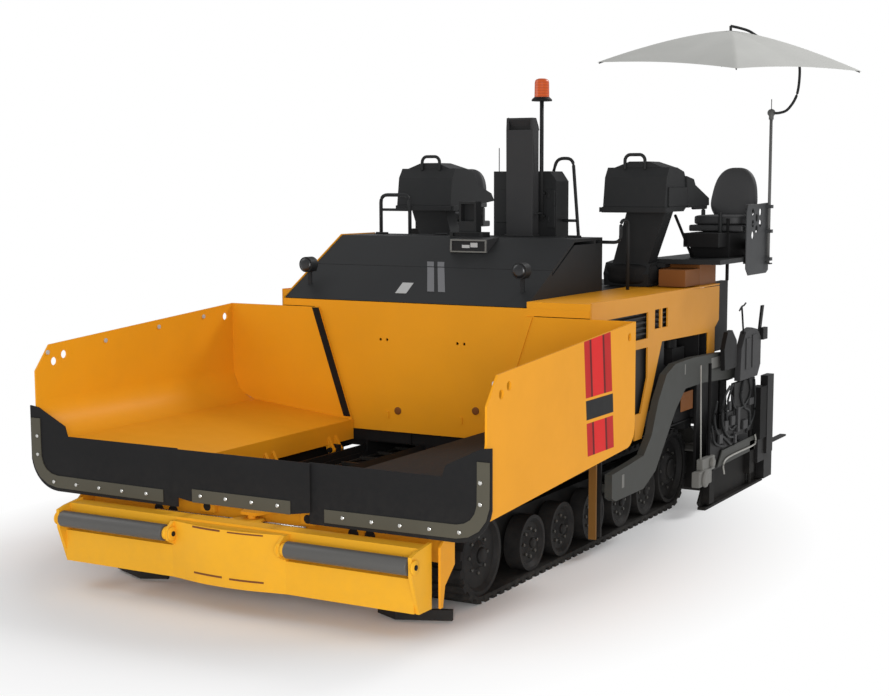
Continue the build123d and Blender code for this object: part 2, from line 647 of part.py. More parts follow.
def build_cowl():
    y_fold = HOOD_FOLD_Y - RUN
    z_fold = hood_z(y_fold)
    base = 1850.0
    inset = RUN
    with BuildPart() as cowl:
        plate_x([HOOD_LOW, (y_fold, z_fold), (y_fold, z_fold - 26), (HOOD_LOW[0] + 20, HOOD_LOW[1] - 1),
                 (HOOD_LOW[0] + 8, HOOD_LOW[1] - 1)], HOOD_RIGHT_X, HOOD_LEFT_X)
        for x0 in (HOOD_RIGHT_X, HOOD_LEFT_X - SKIN):
            plate_x([(HOOD_LOW[0] + 20, base), (HOOD_LOW[0] + 30, hood_z(HOOD_LOW[0] + 30) - 3),
                     (y_fold, z_fold - 3), (y_fold, z_fold - 40), (HOOD_TOP[0], HOOD_TOP[1] - 46),
                     (HOOD_REAR, HOOD_TOP[1] - 46), (HOOD_REAR, base)], x0, x0 + SKIN)
        bar(HOOD_RIGHT_X, HOOD_LEFT_X, LID_REAR + inset, HOOD_REAR, HOOD_TOP[1] - SKIN, HOOD_TOP[1])
        bar(HOOD_RIGHT_X, HOOD_LEFT_X, HOOD_REAR - SKIN, HOOD_REAR, base, HOOD_TOP[1] - SKIN)
        bar(HOOD_RIGHT_X, HOOD_LEFT_X, LID_REAR + inset, LID_REAR + inset + 40, HOOD_TOP[1] - 70,
            HOOD_TOP[1] - SKIN)
        for x in KNUCKLE_XS:
            rod((x + SEAT, *LID_HINGE), (x + KNUCKLE, *LID_HINGE), KNUCKLE_R)
            bar(x + SEAT, x + KNUCKLE, LID_HINGE[0], LID_HINGE[0] + 26, HOOD_TOP[1] - 1, HOOD_TOP[1] + 4)
        for x in (HOOD_RIGHT_X + 122, HOOD_LEFT_X - 122):
            y = -454.0
            z = hood_z(y)
            bar(x - 14, x + 14, y - 10, y + 10, z - 8, z + 118)
            rod((x, y - 62, z + 158), (x, y + 26, z + 158), 62)
            bar(x - 40, x + 40, y + 26, y + 40, z + 100, z + 200)
    save(cowl, "hood_cowl")


# Engine lid: upper slope and flat top in one panel, hinged at its rear edge, with the vent box
def build_lid():
    y0 = HOOD_FOLD_Y
    z0 = hood_z(y0)
    with BuildPart() as lid:
        plate_x([(y0, z0), HOOD_TOP, (LID_REAR, HOOD_TOP[1]), (LID_REAR, HOOD_TOP[1] - 22),
                 (HOOD_TOP[0], HOOD_TOP[1] - 24), (y0, z0 - 26)], HOOD_RIGHT_X, HOOD_LEFT_X)
        bar(-220, 90, 206, 330, HOOD_TOP[1] - 4, HOOD_TOP[1] + 42)
        bar(-190, 60, 200, 230, HOOD_TOP[1] + 8, HOOD_TOP[1] + 34, Mode.SUBTRACT)
        bar(-150, 10, 240, 330, HOOD_TOP[1] + 42, HOOD_TOP[1] + 290)
        bar(-130, -10, 236, 300, HOOD_TOP[1] + 130, HOOD_TOP[1] + 270, Mode.SUBTRACT)
        for x in KNUCKLE_XS:
            rod((x - KNUCKLE, *LID_HINGE), (x, *LID_HINGE), KNUCKLE_R)
            bar(x - KNUCKLE, x, LID_HINGE[0] - 44, LID_HINGE[0], HOOD_TOP[1] - 1, HOOD_TOP[1] + 4)
    save(lid, "hood_lid")


# Exhaust and fume stack, a rectangular duct cut open at the front of its top, with the service
# cabinet and its sloping shoulder behind it
def build_stack():
    x0, x1, y0, y1 = 92.0, 335.0, 612.0, 728.0
    top = 3287.0
    base = HOOD_TOP[1] + SEAT
    wall = 6.0
    with BuildPart() as stack:
        bar(x0, x1, y0, y1, base, top)
        bar(x0 + wall, x1 - wall, y0 + wall, y1 - wall, top - 900, top - wall, Mode.SUBTRACT)
        bar(x0 + 22, x1 - 22, y0 - 5, y0 + wall + 5, top - 92, top - 14, Mode.SUBTRACT)
        plate_x([(y1 - 46, top + 1), (y1 + 1, top + 1), (y1 + 1, top - 70)], x0 - 1, x1 + 1,
                Mode.SUBTRACT)
        bar(x0 - 12, x1 + 12, y0 - 12, y1, base, base + 14)
        plate_y([(-165, SHOULDER_Z - 8), (530, SHOULDER_Z - 8), (522, 2735), (340, 2846), (-165, 2846)],
                870, 1180)
        bar(-140, 500, CABINET_DOOR_Y, 872, 2420, 2700)
    save(stack, "stack_and_cabinet")


# Operator platform between the two shoulders, with a raised tread plate and steps at the rear
TREAD = 4.0


def build_platform():
    top = SHOULDER_Z - 8 - SEAT
    with BuildPart() as platform:
        bar(HOOD_RIGHT_X - 6, HOOD_LEFT_X + 6, HOOD_REAR + SEAT, BODY_REAR, top - 14, top)
        bar(HOOD_RIGHT_X - 6, HOOD_LEFT_X + 6, BODY_REAR - 14, BODY_REAR, top - 120, top - 14)
        bar(-600, 600, 1200, BODY_REAR - 10, top, top + TREAD)
        for x in (-420.0, 420.0):
            bar(x - 20, x + 20, 1640, BODY_REAR - 14, top - 160, top - 14)
        for i, z in enumerate((1500.0, 1150.0, 800.0)):
            bar(-260, 260, 1624, 1760, z, z + 26)
        for x in (-272.0, 258.0):
            bar(x, x + 14, 1620 + SEAT, 1720, 760, top - 14)
    save(platform, "platform_deck")


# Hand rails beside the stations and on the cabinet, and the beacon's pole
def build_rails():
    r = 16.0
    foot = SHOULDER_Z - 8 + SEAT
    with BuildPart() as rails:
        tube([(-1310, 880, foot), (-1310, 880, 2650), (-1010, 880, 2650), (-1010, 880, foot)], r, 70)
        rod((-1010, 880, 2520), (-1310, 880, 2520), 12)
        behind = HOOD_REAR + SEAT + 14
        tube([(850, behind, 2275), (1070, behind, 2275), (1070, behind, 2454), (1070, 900, 2454),
              (1070, 900, foot)], 14, 60)
        tube([(590, 1000, foot), (545, 1000, 2960), (420, 1000, 2960), (420, 1000, 2810)], 14, 60)
        rod((548, 1000, 2420), (580, 1000, 2420), 12)
        rod((*POLE, 2440), (*POLE, POLE_TOP), 17)
        for z in (2470.0, 2660.0):
            bar(POLE[0] - 14, POLE[0] + 14, POLE[1], CABINET_DOOR_Y - SEAT, z, z + 20)
    save(rails, "hand_rails")


# Flashing beacon on its pole
def build_beacon():
    with BuildPart() as beacon:
        foot = POLE_TOP + SEAT
        with BuildSketch(Plane(origin=(*POLE, 0), x_dir=(1, 0, 0), z_dir=(0, -1, 0))) as section:
            with BuildLine():
                Polyline((0, foot), (72, foot), (72, foot + 24), (60, foot + 30), (56, foot + 138),
                         (44, foot + 160), (0, foot + 166), close=True)
            make_face()
        revolve(section.sketch, axis=Axis((*POLE, 0), (0, 0, 1)))
    save(beacon, "beacon")


# Tow point posts: upright channels outside the tracks, each with the bracket of a tow arm's pin
TOW_PIN_R = 30.0
POST_X = 1400.0


def build_posts():
    with BuildPart() as posts:
        plate_x([(-455, TOW_Z - 58), (-455, TOW_Z + 62), (TOW_Y - 18, TOW_Z + 62), (TOW_Y + 46, TOW_Z + 30),
                 (TOW_Y + 46, TOW_Z - 30), (TOW_Y - 18, TOW_Z - 58)], POST_X, POST_X + 18)
        rod((POST_X - 5, TOW_Y, TOW_Z), (POST_X + 25, TOW_Y, TOW_Z), TOW_PIN_R + PIN_PLAY, Mode.SUBTRACT)
        plate_z([(POST_X, -560), (1458, -560), (1458, -540), (1418, -540), (1418, -470), (1458, -470),
                 (1458, -450), (POST_X, -450)], 126, 900 - SEAT)
        bar(1398 + SEAT, POST_X + 2, -540, -460, 665, 738)
        mirror(about=Plane.YZ)
    save(posts, "tow_point_posts")


# Auger hanger: cross tube, centre chain case and end bearings
def build_hanger():
    with BuildPart() as hanger:
        bar(0, 1440, 1690, 1750, 700, 760)
        bar(500, 560, FRAME_REAR + SEAT, 1690, 640, 700)
        bar(500, 560, 1640.3, 1750, 690, 705)
        plate_x([(1690, 740), (1780, 740), (AUGER_Y + 70, AUGER_Z + 40), (AUGER_Y + 70, AUGER_Z - 40),
                 (AUGER_Y, AUGER_Z - 90), (AUGER_Y - 70, AUGER_Z - 40), (AUGER_Y - 120, 600),
                 (1690, 700)], 0, 70)
        plate_x([(1690, 740), (1750, 740), (AUGER_Y + 60, AUGER_Z + 30), (AUGER_Y + 60, AUGER_Z - 40),
                 (AUGER_Y, AUGER_Z - 70), (AUGER_Y - 60, AUGER_Z - 40), (1690, 640)], 1412, 1436)
        mirror(about=Plane.YZ)
    save(hanger, "auger_hanger")


# Screw auger: shaft with half-turn flight segments, each a flat half ring set at the helix angle
def build_auger():
    x0 = 70 + PIN_PLAY
    x1 = 1412 - PIN_PLAY
    half_pitch = 168.0
    tilt = math.degrees(math.atan2(half_pitch, 2 * AUGER_R))
    count = int((x1 - x0 - 60) / half_pitch)
    first = x0 + 30 + half_pitch / 2
    with BuildPart() as auger:
        rod((x0, AUGER_Y, AUGER_Z), (x1, AUGER_Y, AUGER_Z), AUGER_SHAFT_R)
        for i in range(count):
            up = 1 if i % 2 == 0 else -1
            lean = math.radians(tilt)
            centre = (first + i * half_pitch, AUGER_Y, AUGER_Z)
            plane = Plane(origin=centre, x_dir=(math.sin(lean), math.cos(lean) * up, 0),
                          z_dir=(math.cos(lean) * 1.0, -math.sin(lean) * up, 0))
            with BuildSketch(plane.offset(-7)) as flight:
                Circle(AUGER_R)
                Circle(AUGER_SHAFT_R - 6, mode=Mode.SUBTRACT)
                with Locations((0, -AUGER_R)):
                    Rectangle(2.2 * AUGER_R, 2 * AUGER_R, mode=Mode.SUBTRACT)
            extrude(flight.sketch, amount=14)
    save(auger, "auger_left")
    save(mirrored(auger.part), "auger_right")


# Operator station: leaning pedestal, console, seat carrier, guard plate and console rail
STATION_AXIS = (960.0, 1400.0)
GUARD_X = 1680.0
MAST_R = 17.0
MAST = (GUARD_X + SEAT + MAST_R, 2642.0)
GUARD_LOW = 1950.0
GUARD_HIGH = 2580.0
MAST_FOOT = GUARD_LOW + 90


def build_station():
    foot = SHOULDER_Z - 8 + RUN
    carrier = (2072.0, 2112.0)
    with BuildPart() as station:
        plate_x([(1260, foot), (1540, foot), (1540, 2040), (1480, 2100), (1290, 2080), (1240, 1990)],
                700, 1110)
        plate_y([(760, 2060), (1080, 2060), (1240, 2520), (890, 2520)], 1290, 1470)
        plate_x([(1150, 2516), (1130, 2560), (1165, 2800), (1225, 2884), (1400, 2884), (1560, 2850),
                 (1640, 2740), (1900, 2660), (1960, 2590), (1640, 2560), (1560, 2516)], 740, 1296)
        bar(706, 1310, 1128, 1160, 2512, 2552)
        rod((*STATION_AXIS, SHOULDER_Z - 8 + SEAT), (*STATION_AXIS, foot + 4), 120)
        bar(980, 1660, 1480, 2700, *carrier)
        bar(1060, 1180, 1440, 1560, 2040, carrier[0] + 5)
        bar(1640, 1680, 2120, 2690, carrier[0] - 20, carrier[0] + 30)
        plate_x([(2084, GUARD_HIGH - 80), (2120, GUARD_HIGH - 17), (2660, GUARD_HIGH),
                 (2721, GUARD_HIGH - 20), (2700, GUARD_LOW + 25), (2640, GUARD_LOW), (2150, GUARD_LOW),
                 (2084, GUARD_LOW + 60)], GUARD_X - 8, GUARD_X)
        x, y = MAST
        for z in (MAST_FOOT + 20, (MAST_FOOT + GUARD_HIGH) / 2, GUARD_HIGH - 50):
            bar(GUARD_X - 4, x + 30, y - 30, y + 30, z, z + 30)
            rod((x, y, z - 5), (x, y, z + 35), MAST_R + PIN_PLAY, Mode.SUBTRACT)
        bar(GUARD_X - 4, x + 30, y - 30, y + 30, MAST_FOOT - 12, MAST_FOOT - SEAT)
        # Round windows of the guard plate, three columns of three and two
        for y, z in ((2250.0, 2500.0), (2250.0, 2400.0), (2250.0, 2300.0), (2350.0, 2450.0),
                     (2350.0, 2350.0), (2450.0, 2500.0), (2450.0, 2400.0)):
            rod((GUARD_X - 20, y, z), (GUARD_X + 10, y, z), 34, Mode.SUBTRACT)
        bar(1300, 1520, 2250, 2470, carrier[1], 2330)
        tube([(900, 1215, 2870), (900, 1215, 2990), (1080, 1215, 2990), (1080, 1215, 2870)], 14, 50)
        rod((1450, 2050, carrier[1]), (1450, 2050, 2500), 18)
    return station


# Seat: pan, cushion and a rounded back with arm rests
def build_seat():
    cx = 1388.0
    with BuildPart() as seat:
        with BuildSketch(Plane.XY.offset(2330 + SEAT)) as pan:
            with Locations((cx, 2360)):
                RectangleRounded(500, 520, 60)
        extrude(pan.sketch, amount=60)
        with BuildSketch(Plane.XY.offset(2390 + SEAT)) as cushion:
            with Locations((cx, 2350)):
                RectangleRounded(470, 480, 70)
        extrude(cushion.sketch, amount=70)
        with BuildSketch(Plane(origin=(cx, 2560, 2400), x_dir=(-1, 0, 0), z_dir=(0, 1, 0.18))) as back:
            with Locations((0, 240)):
                RectangleRounded(440, 500, 120)
        extrude(back.sketch, amount=90)
        for x in (cx - 270, cx + 230):
            bar(x, x + 40, 2200, 2520, 2520, 2570)
            bar(x + 5, x + 35, 2440, 2490, 2340, 2520)
        bar(cx - 270, cx + 270, 2440, 2490, 2340, 2380)
    return seat


def build_stations():
    station = build_station()
    save(station, "station_left")
    save(mirrored(station.part), "station_right")
    seat = build_seat()
    save(seat, "seat_left")
    save(mirrored(seat.part), "seat_right")


# Umbrella: mast clamped to the guard plate, goose-neck, ribs and a tilted canopy with a low peak
MAST_TOP = 3377.0
CANOPY_CENTRE = (1353.0, 2455.0, 3780.0)
CANOPY_TILT = (3.6, 4.1, -22.3)
CANOPY_HALF = 826.0
CANOPY_SAG = 46.0
CANOPY_PEAK = 315.0
CANOPY_SKIN = 12.0
CANOPY_CAP = 30.0


# Hem of the canopy: four corners joined by edges drawn in towards the centre
def hem(plane, half, sag):
    with BuildSketch(plane) as face:
        with BuildLine():
            ThreePointArc((-half, -half), (0, -half + sag), (half, -half))
            ThreePointArc((half, -half), (half - sag, 0), (half, half))
            ThreePointArc((half, half), (0, half - sag), (-half, half))
            ThreePointArc((-half, half), (-half + sag, 0), (-half, -half))
        make_face()
    return face.sketch.face()


def build_umbrella():
    x, y = MAST
    base = Plane(Location(CANOPY_CENTRE, CANOPY_TILT))
    hub_top = CANOPY_PEAK - CANOPY_SKIN - SEAT
    hub_low = tuple(base.from_local_coords(Vector(0, 0, hub_top - 160)))
    with BuildPart() as mast:
        rod((x, y, MAST_FOOT), (x, y, MAST_TOP - 40), MAST_R)
        rod((x, y, MAST_TOP - 60), (x, y, MAST_TOP), 30)
        tube([(x, y, MAST_TOP), (1826, y, MAST_TOP), (1949, y, 3522), (1985, y, 3790), hub_low], 15, 50)
        rod(hub_low, tuple(base.from_local_coords(Vector(0, 0, hub_top))), 26)
        for turn in range(4):
            a = math.radians(45 + 90 * turn)
            reach = (CANOPY_HALF - 20) * math.sqrt(2)
            corner = base.from_local_coords(Vector(reach * math.cos(a), reach * math.sin(a), -14))
            rod(tuple(base.from_local_coords(Vector(0, 0, hub_top - 34))), tuple(corner), 6)
    save(mast, "umbrella_mast")
    with BuildPart() as canopy:
        loft([hem(base, CANOPY_HALF, CANOPY_SAG), hem(base.offset(CANOPY_PEAK), CANOPY_CAP, 1)])
        loft([hem(base.offset(-CANOPY_SKIN), CANOPY_HALF - 1, CANOPY_SAG),
              hem(base.offset(CANOPY_PEAK - CANOPY_SKIN), CANOPY_CAP, 1)], mode=Mode.SUBTRACT)
    save(canopy, "umbrella_canopy")


# Tow arms: cranked plates from the tow points to the screed
ARM_TOP = [(-432, 600), (-60, 628), (174, 650), (332, 785), (469, 1045), (632, 1235), (824, 1300),
           (1231, 1311), (1914, 1286), (2499, 1247)]
ARM_BOTTOM = [(2499, 1000), (2200, 1030), (1478, 1072), (1057, 1071), (839, 916), (629, 700),
              (424, 490), (181, 388), (-361, 388), (-432, 420)]


def build_arms():
    with BuildPart() as arms:
        plate_x(ARM_TOP + ARM_BOTTOM, ARM_X0, ARM_X1)
        rod((POST_X - 4, TOW_Y, TOW_Z), (ARM_X0 + 5, TOW_Y, TOW_Z), TOW_PIN_R)
        bar(1380, ARM_X0 + 5, 2260, 2420, 1020, 1080)
        mirror(about=Plane.YZ)
    save(arms, "tow_arms")


# Main screed: sole plate, box body, arm posts, rear rails, walkway and operator handles
RAIL_ZS = (150.0, 330.0)


def build_screed():
    with BuildPart() as screed:
        plate_x([(SCREED_FRONT + 30, 0), (SCREED_REAR, 0), (SCREED_REAR, 470), (SCREED_REAR - 40, 520),
                 (SCREED_FRONT + 90, 520), (SCREED_FRONT, 420), (SCREED_FRONT, 30)], 0, SCREED_HALF)
        for z in RAIL_ZS:
            bar(0, 1480, SCREED_REAR, SCREED_REAR + 60, z, z + 40)
        plate_x([(2230, 500), (2450, 500), (2420, 1000), (2260, 1000)], 1384, 1404)
        bar(1384, 1464, 2260, 2420, 996, 1020 - SEAT)
        for x in (LIFT_X - 70, LIFT_X + 50):
            plate_x([(2190, 500), (2310, 500), (2290, 660), (2250, 690), (2210, 660)], x, x + 20)
        rod((LIFT_X - 70, *LIFT_EYE), (LIFT_X + 70, *LIFT_EYE), LIFT_PIN_R)
        bar(0, 1480, 2864, 3150, 386, 410)
        bar(0, 1480, 3130, 3150, 330, 386)
        for x in (60.0, 700.0, 1340.0):
            plate_x([(2400, 500), (2400, 560), (2870, 560), (2900, 400), (2864, 386), (2840, 520)],
                    x, x + 20)
        mirror(about=Plane.YZ)
    save(screed, "screed")


# Screed extension behind the main screed, with its end gate, ski and jacks
def build_extension():
    front = SCREED_REAR + RUN + 2
    with BuildPart() as ext:
        plate_x([(front, 0), (EXT_REAR - 30, 0), (EXT_REAR, 30), (EXT_REAR, 380), (EXT_REAR - 40, 430),
                 (front, 430)], 8, GATE_X)
        for z in RAIL_ZS:
            bar(0, GATE_X - 20, front - 5, SCREED_REAR + 60 + RUN, z - PIN_PLAY, z + 40 + PIN_PLAY,
                Mode.SUBTRACT)
        plate_x([(1380, 0), (2830, 0), (2830, 400), (2760, 440), (1900, 440), (1500, 300), (1317, 60)],
                GATE_X, GATE_X + 16)
        bar(GATE_X, GATE_X + 70, 1340, 2860, 0, 22)
        rod((GATE_X + 40, 1480, 22), (GATE_X + 40, 1480, 1240), 14)
        bar(GATE_X + 5, GATE_X + 75, 1420, 1540, 40, 320)
        rod((GATE_X + 40, 2560, 22), (GATE_X + 40, 2560, 900), 16)
        bar(GATE_X + 16, GATE_X + 64, 2500, 2620, 120, 420)
        bar(GATE_X + 16, GATE_X + 110, 2640, 2820, 420, 900)
        bar(GATE_X + 16, GATE_X + 40, 2640, 2820, 300, 440)
    save(ext, "extension_left")
    save(mirrored(ext.part), "extension_right")


# Screed lift cylinders, drawn at rest between the rear bulkhead and the screed. The rod's eye has
# EYE_PLAY round its pin
def build_cylinders():
    top = Vector(LIFT_X, *LIFT_TOP)
    eye = Vector(LIFT_X, *LIFT_EYE)
    along = (eye - top).normalized()
    length = (eye - top).length
    barrel_end = top + along * 640
    with BuildPart() as barrel:
        rod(tuple(top + along * 26), tuple(barrel_end), 41)
        rod((LIFT_X - 44, *LIFT_TOP), (LIFT_X + 44, *LIFT_TOP), 40)
        rod((LIFT_X - 50, *LIFT_TOP), (LIFT_X + 50, *LIFT_TOP), LIFT_PIN_R + PIN_PLAY, Mode.SUBTRACT)
        rod(tuple(top + along * 60), tuple(barrel_end + along * 5), 25 + PIN_PLAY, Mode.SUBTRACT)
    save(barrel, "lift_barrel_left")
    save(mirrored(barrel.part), "lift_barrel_right")
    with BuildPart() as piston:
        rod(tuple(top + along * (length - 700)), tuple(eye - along * (LIFT_PIN_R + EYE_PLAY + 6)), 25)
        rod((LIFT_X - 44, *LIFT_EYE), (LIFT_X + 44, *LIFT_EYE), LIFT_PIN_R + EYE_PLAY + 16)
        rod((LIFT_X - 50, *LIFT_EYE), (LIFT_X + 50, *LIFT_EYE), LIFT_PIN_R + EYE_PLAY, Mode.SUBTRACT)
    save(piston, "lift_rod_left")
    save(mirrored(piston.part), "lift_rod_right")


build_crossmember()
build_main_frame()
build_tracks()
build_wheels()
build_track_frames()
build_rear_wall()
build_tunnel()
build_conveyors()
build_wing()
build_wing_rubber()
build_centre_apron()
build_push_beam()
build_rollers()
build_scrapers()
build_engine()
build_body()
build_louvres()
build_cowl()
build_lid()
build_stack()
build_platform()
build_rails()
build_beacon()
build_posts()
build_hanger()
build_auger()
build_stations()
build_umbrella()
build_arms()
build_screed()
build_extension()
build_cylinders()
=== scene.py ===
# %% [markdown]
# # A tracked asphalt paver
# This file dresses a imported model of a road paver: a hopper in front, a body on two rubber tracks,
# two operator stations and a floating screed behind. The rigid pieces come from the CAD model.
# Here they get their paint, rubber and steel, and what is soft or small is made from arrays.

import bpy
import bmesh
import math
import numpy as np
from mathutils import Matrix, Vector


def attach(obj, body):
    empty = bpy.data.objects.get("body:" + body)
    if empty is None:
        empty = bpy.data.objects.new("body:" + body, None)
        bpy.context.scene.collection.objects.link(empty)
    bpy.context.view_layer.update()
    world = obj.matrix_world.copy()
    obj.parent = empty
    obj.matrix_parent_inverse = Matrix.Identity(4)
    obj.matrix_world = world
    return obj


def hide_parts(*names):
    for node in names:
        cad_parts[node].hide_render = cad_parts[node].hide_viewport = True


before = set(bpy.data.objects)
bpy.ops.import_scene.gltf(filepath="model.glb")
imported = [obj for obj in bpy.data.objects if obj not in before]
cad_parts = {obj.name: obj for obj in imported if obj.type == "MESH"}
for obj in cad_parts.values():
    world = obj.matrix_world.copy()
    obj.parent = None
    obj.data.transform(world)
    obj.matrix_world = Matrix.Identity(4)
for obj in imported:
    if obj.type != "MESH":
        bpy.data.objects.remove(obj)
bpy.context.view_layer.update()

# %% [markdown]
# ## One ruler for everything
# The machine was measured from the tractor's centre line, in millimetres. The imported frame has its
# origin in the middle of the whole, umbrella included, so every new point is moved by the same
# small offset. Writing all places in the machine's own measure keeps the numbers easy to read.

# %% From the centre line to the frame
CENTRE = np.array([-0.289, -0.189, 0.0])


def place(points):
    """Points in millimetres from the centre line, divided by 1000 and moved by the centre's offset."""
    return np.asarray(points, float) / 1000.0 + CENTRE


# %% [markdown]
# ## Surfaces from arrays
# Every new piece is a grid of points. A grid has two parameters, one along its rows and one along
# its columns, and the faces follow from the grid's size alone, so one helper closes them all. The
# machine is nearly the same on both sides, so most pieces are made once and mirrored.

# %% Grids, joins and meshes
def grid_faces(rows, columns, closed=True):
    """Quads between neighbours of a rows by columns grid; a closed row's end meets its start."""
    across = np.arange(columns if closed else columns - 1)
    i, j = np.meshgrid(np.arange(rows - 1), across, indexing="ij")
    i2, j2 = i + 1, (j + 1) % columns
    quads = [i * columns + j, i * columns + j2, i2 * columns + j2, i2 * columns + j]
    return np.stack(quads, -1).reshape(-1, 4)


def joined(parts):
    """All points one after another, each part's faces moved on by the points before it."""
    points = np.concatenate([p for p, f in parts])
    starts = np.cumsum([0] + [len(p) for p, f in parts[:-1]])
    faces = [(np.asarray(row) + s).tolist() for (p, f), s in zip(parts, starts) for row in f]
    return points, faces


def mirrored(shape):
    """The same shape on the machine's other side: x becomes -x, and each face runs the other way."""
    return shape[0] * (-1, 1, 1), [list(face)[::-1] for face in shape[1]]


def make_piece(name, shape, finish, body, slot, replaces=None, smooth=False, bevel=0.0, closed=True):
    """A mesh from points and faces, its doubles merged and its faces turned outwards."""
    points, faces = shape
    mesh = bpy.data.meshes.new(name)
    mesh.from_pydata(place(points).tolist(), [], [list(map(int, f)) for f in faces])
    work = bmesh.new()
    work.from_mesh(mesh)
    bmesh.ops.remove_doubles(work, verts=work.verts, dist=1e-5)
    if closed:
        bmesh.ops.recalc_face_normals(work, faces=work.faces)
    work.to_mesh(mesh)
    work.free()
    mesh.polygons.foreach_set("use_smooth", [smooth] * len(mesh.polygons))
    mesh.materials.append(finish.material)
    piece = bpy.data.objects.new(name, mesh)
    bpy.context.scene.collection.objects.link(piece)
    if bevel:
        edge = piece.modifiers.new("edges", "BEVEL")
        edge.width = bevel / 1000.0
        edge.segments = 2
        edge.limit_method = "ANGLE"
    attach(piece, body)
    if replaces:
        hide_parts(replaces)
    print(f"{name}: {len(mesh.vertices)} points, {len(mesh.polygons)} faces")
    return piece


def make_pair(name, shape, finish, body, slot, replaces="", **kind):
    """The left piece and its mirror image; a * in a name stands for left or right."""
    pair = []
    for side, form in (("left", shape), ("right", mirrored(shape))):
        names = [text.replace("*", side) for text in (name, body, replaces)]
        pair.append(make_piece(names[0], form, finish, names[1], slot, names[2], **kind))
    return pair


# %% [markdown]
# ## A few shapes that repeat
# Plates, pipes, turned pieces and bolt heads make up most small parts of such a machine. Each is a
# formula over a small array: a circle carried along a path, or a profile carried round an axis.

# %% Boxes, pipes, turned shapes and bolts
BOX_CORNERS = np.array([(x, y, z) for z in (0, 1) for x, y in ((0, 0), (1, 0), (1, 1), (0, 1))])
BOX_FACES = np.array([[0, 3, 2, 1], [4, 5, 6, 7], [0, 1, 5, 4], [1, 2, 6, 5], [2, 3, 7, 6], [3, 0, 4, 7]])


def boxes(rows):
    """Boxes from rows of (x0, x1, y0, y1, z0, z1): each corner is low + corner * (high - low)."""
    rows = np.asarray(rows, float).reshape(-1, 3, 2)
    low, size = rows[:, None, :, 0], (rows[:, :, 1] - rows[:, :, 0])[:, None]
    points = (low + BOX_CORNERS[None] * size).reshape(-1, 3)
    faces = (BOX_FACES[None] + 8 * np.arange(len(rows))[:, None, None]).reshape(-1, 4)
    return points, faces


def circles(directions, around):
    """Unit circles square to each direction d: cos a * s + sin a * (d x s), where s is d x up."""
    d = directions / np.linalg.norm(directions, axis=-1, keepdims=True)
    up = np.broadcast_to((0.0, 0.0, 1.0), d.shape).copy()
    up[np.abs((d * up).sum(-1)) > 0.95] = (0.0, 1.0, 0.0)
    s = np.cross(d, up)
    s /= np.linalg.norm(s, axis=-1, keepdims=True)
    a = np.linspace(0, 2 * math.pi, around, endpoint=False)[:, None]
    return np.cos(a) * s[:, None] + np.sin(a) * np.cross(d, s)[:, None]


def capped(rings):
    """Rings of points along a path; each end is closed by a ring shrunk to its own middle."""
    first, last = [ring.mean(1, keepdims=True).repeat(rings.shape[1], 1) for ring in (rings[:1], rings[-1:])]
    rings = np.concatenate([first, rings, last])
    return rings.reshape(-1, 3), grid_faces(len(rings), rings.shape[1])


def pipe(path, radius, around=12):
    """A round pipe: each path point plus the radius times a circle square to the path."""
    path = np.asarray(path, float)
    return capped(path[:, None] + radius * circles(np.gradient(path, axis=0), around))


def turned(profile, centre, axis, around=24):
    """A turned piece: profile rows of (along, radius) swept round an axis through centre."""
    axis = np.asarray(axis, float) / np.linalg.norm(axis)
    along, r = np.asarray(profile, float).T[:, :, None, None]
    skin = np.asarray(centre, float) + along * axis + r * circles(axis[None], around)
    return skin.reshape(-1, 3), grid_faces(len(profile), around)


def button(radius, height, cut=0.0, drop=0.0):
    """The profile of a flat disc whose rim is cut back over cut of its height, by drop."""
    return [(0, 0), (0, radius), (height - cut, radius), (height, radius - drop), (height, 0)]


def studs(places, normal, radius, height, sides=8):
    """Bolt heads: a small turned prism at each place, its height along the normal."""
    head = button(radius, height, 0.2 * height, 0.2 * radius)
    return joined([turned(head, at, normal, sides) for at in places])


def prism(outline, axis, low, high):
    """An outline swept from low to high: (y, z) along x, (x, z) along y or (x, y) along z."""
    flat = np.asarray(outline, float)
    n = len(flat)
    order = {"x": (2, 0, 1), "y": (0, 2, 1), "z": (0, 1, 2)}[axis]
    ends = [np.column_stack([flat, np.full(n, end)])[:, order] for end in (low, high)]
    walls = [[i, (i + 1) % n, n + (i + 1) % n, n + i] for i in range(n)]
    return np.vstack(ends), [list(range(n))[::-1], list(range(n, 2 * n)), *walls]


# %% [markdown]
# ## Paths
# A hose, a rail and the umbrella's neck are paths first. A hose passes smoothly through its points,
# a rail runs straight between rounded corners.

# %% Straight, smooth and bent paths
def upright(x, y, *heights):
    """Points of a straight upright, one at each height."""
    return [(x, y, z) for z in heights]


def curve_through(points, samples):
    """A smooth path by Catmull-Rom: each span is a cubic through its two points and two neighbours."""
    p = np.asarray(points, float)
    p = np.vstack([2 * p[0] - p[1], p, 2 * p[-1] - p[-2]])
    t = np.linspace(0, 1, samples, endpoint=False)[None, :, None]
    a, b, c, d = p[:-3, None], p[1:-2, None], p[2:-1, None], p[3:, None]
    even, odd = (2 * a - 5 * b + 4 * c - d) * t**2, (3 * b - a - 3 * c + d) * t**3
    span = 0.5 * (2 * b + (c - a) * t + even + odd)
    return np.vstack([span.reshape(-1, 3), p[-2:-1]])


def arc(centre, radius, start, stop, samples=12):
    """Points of an arc in a plane: centre + r (cos a, sin a) from start to stop degrees."""
    a = np.radians(np.linspace(start, stop, samples))[:, None]
    return np.asarray(centre, float) + radius * np.hstack([np.cos(a), np.sin(a)])


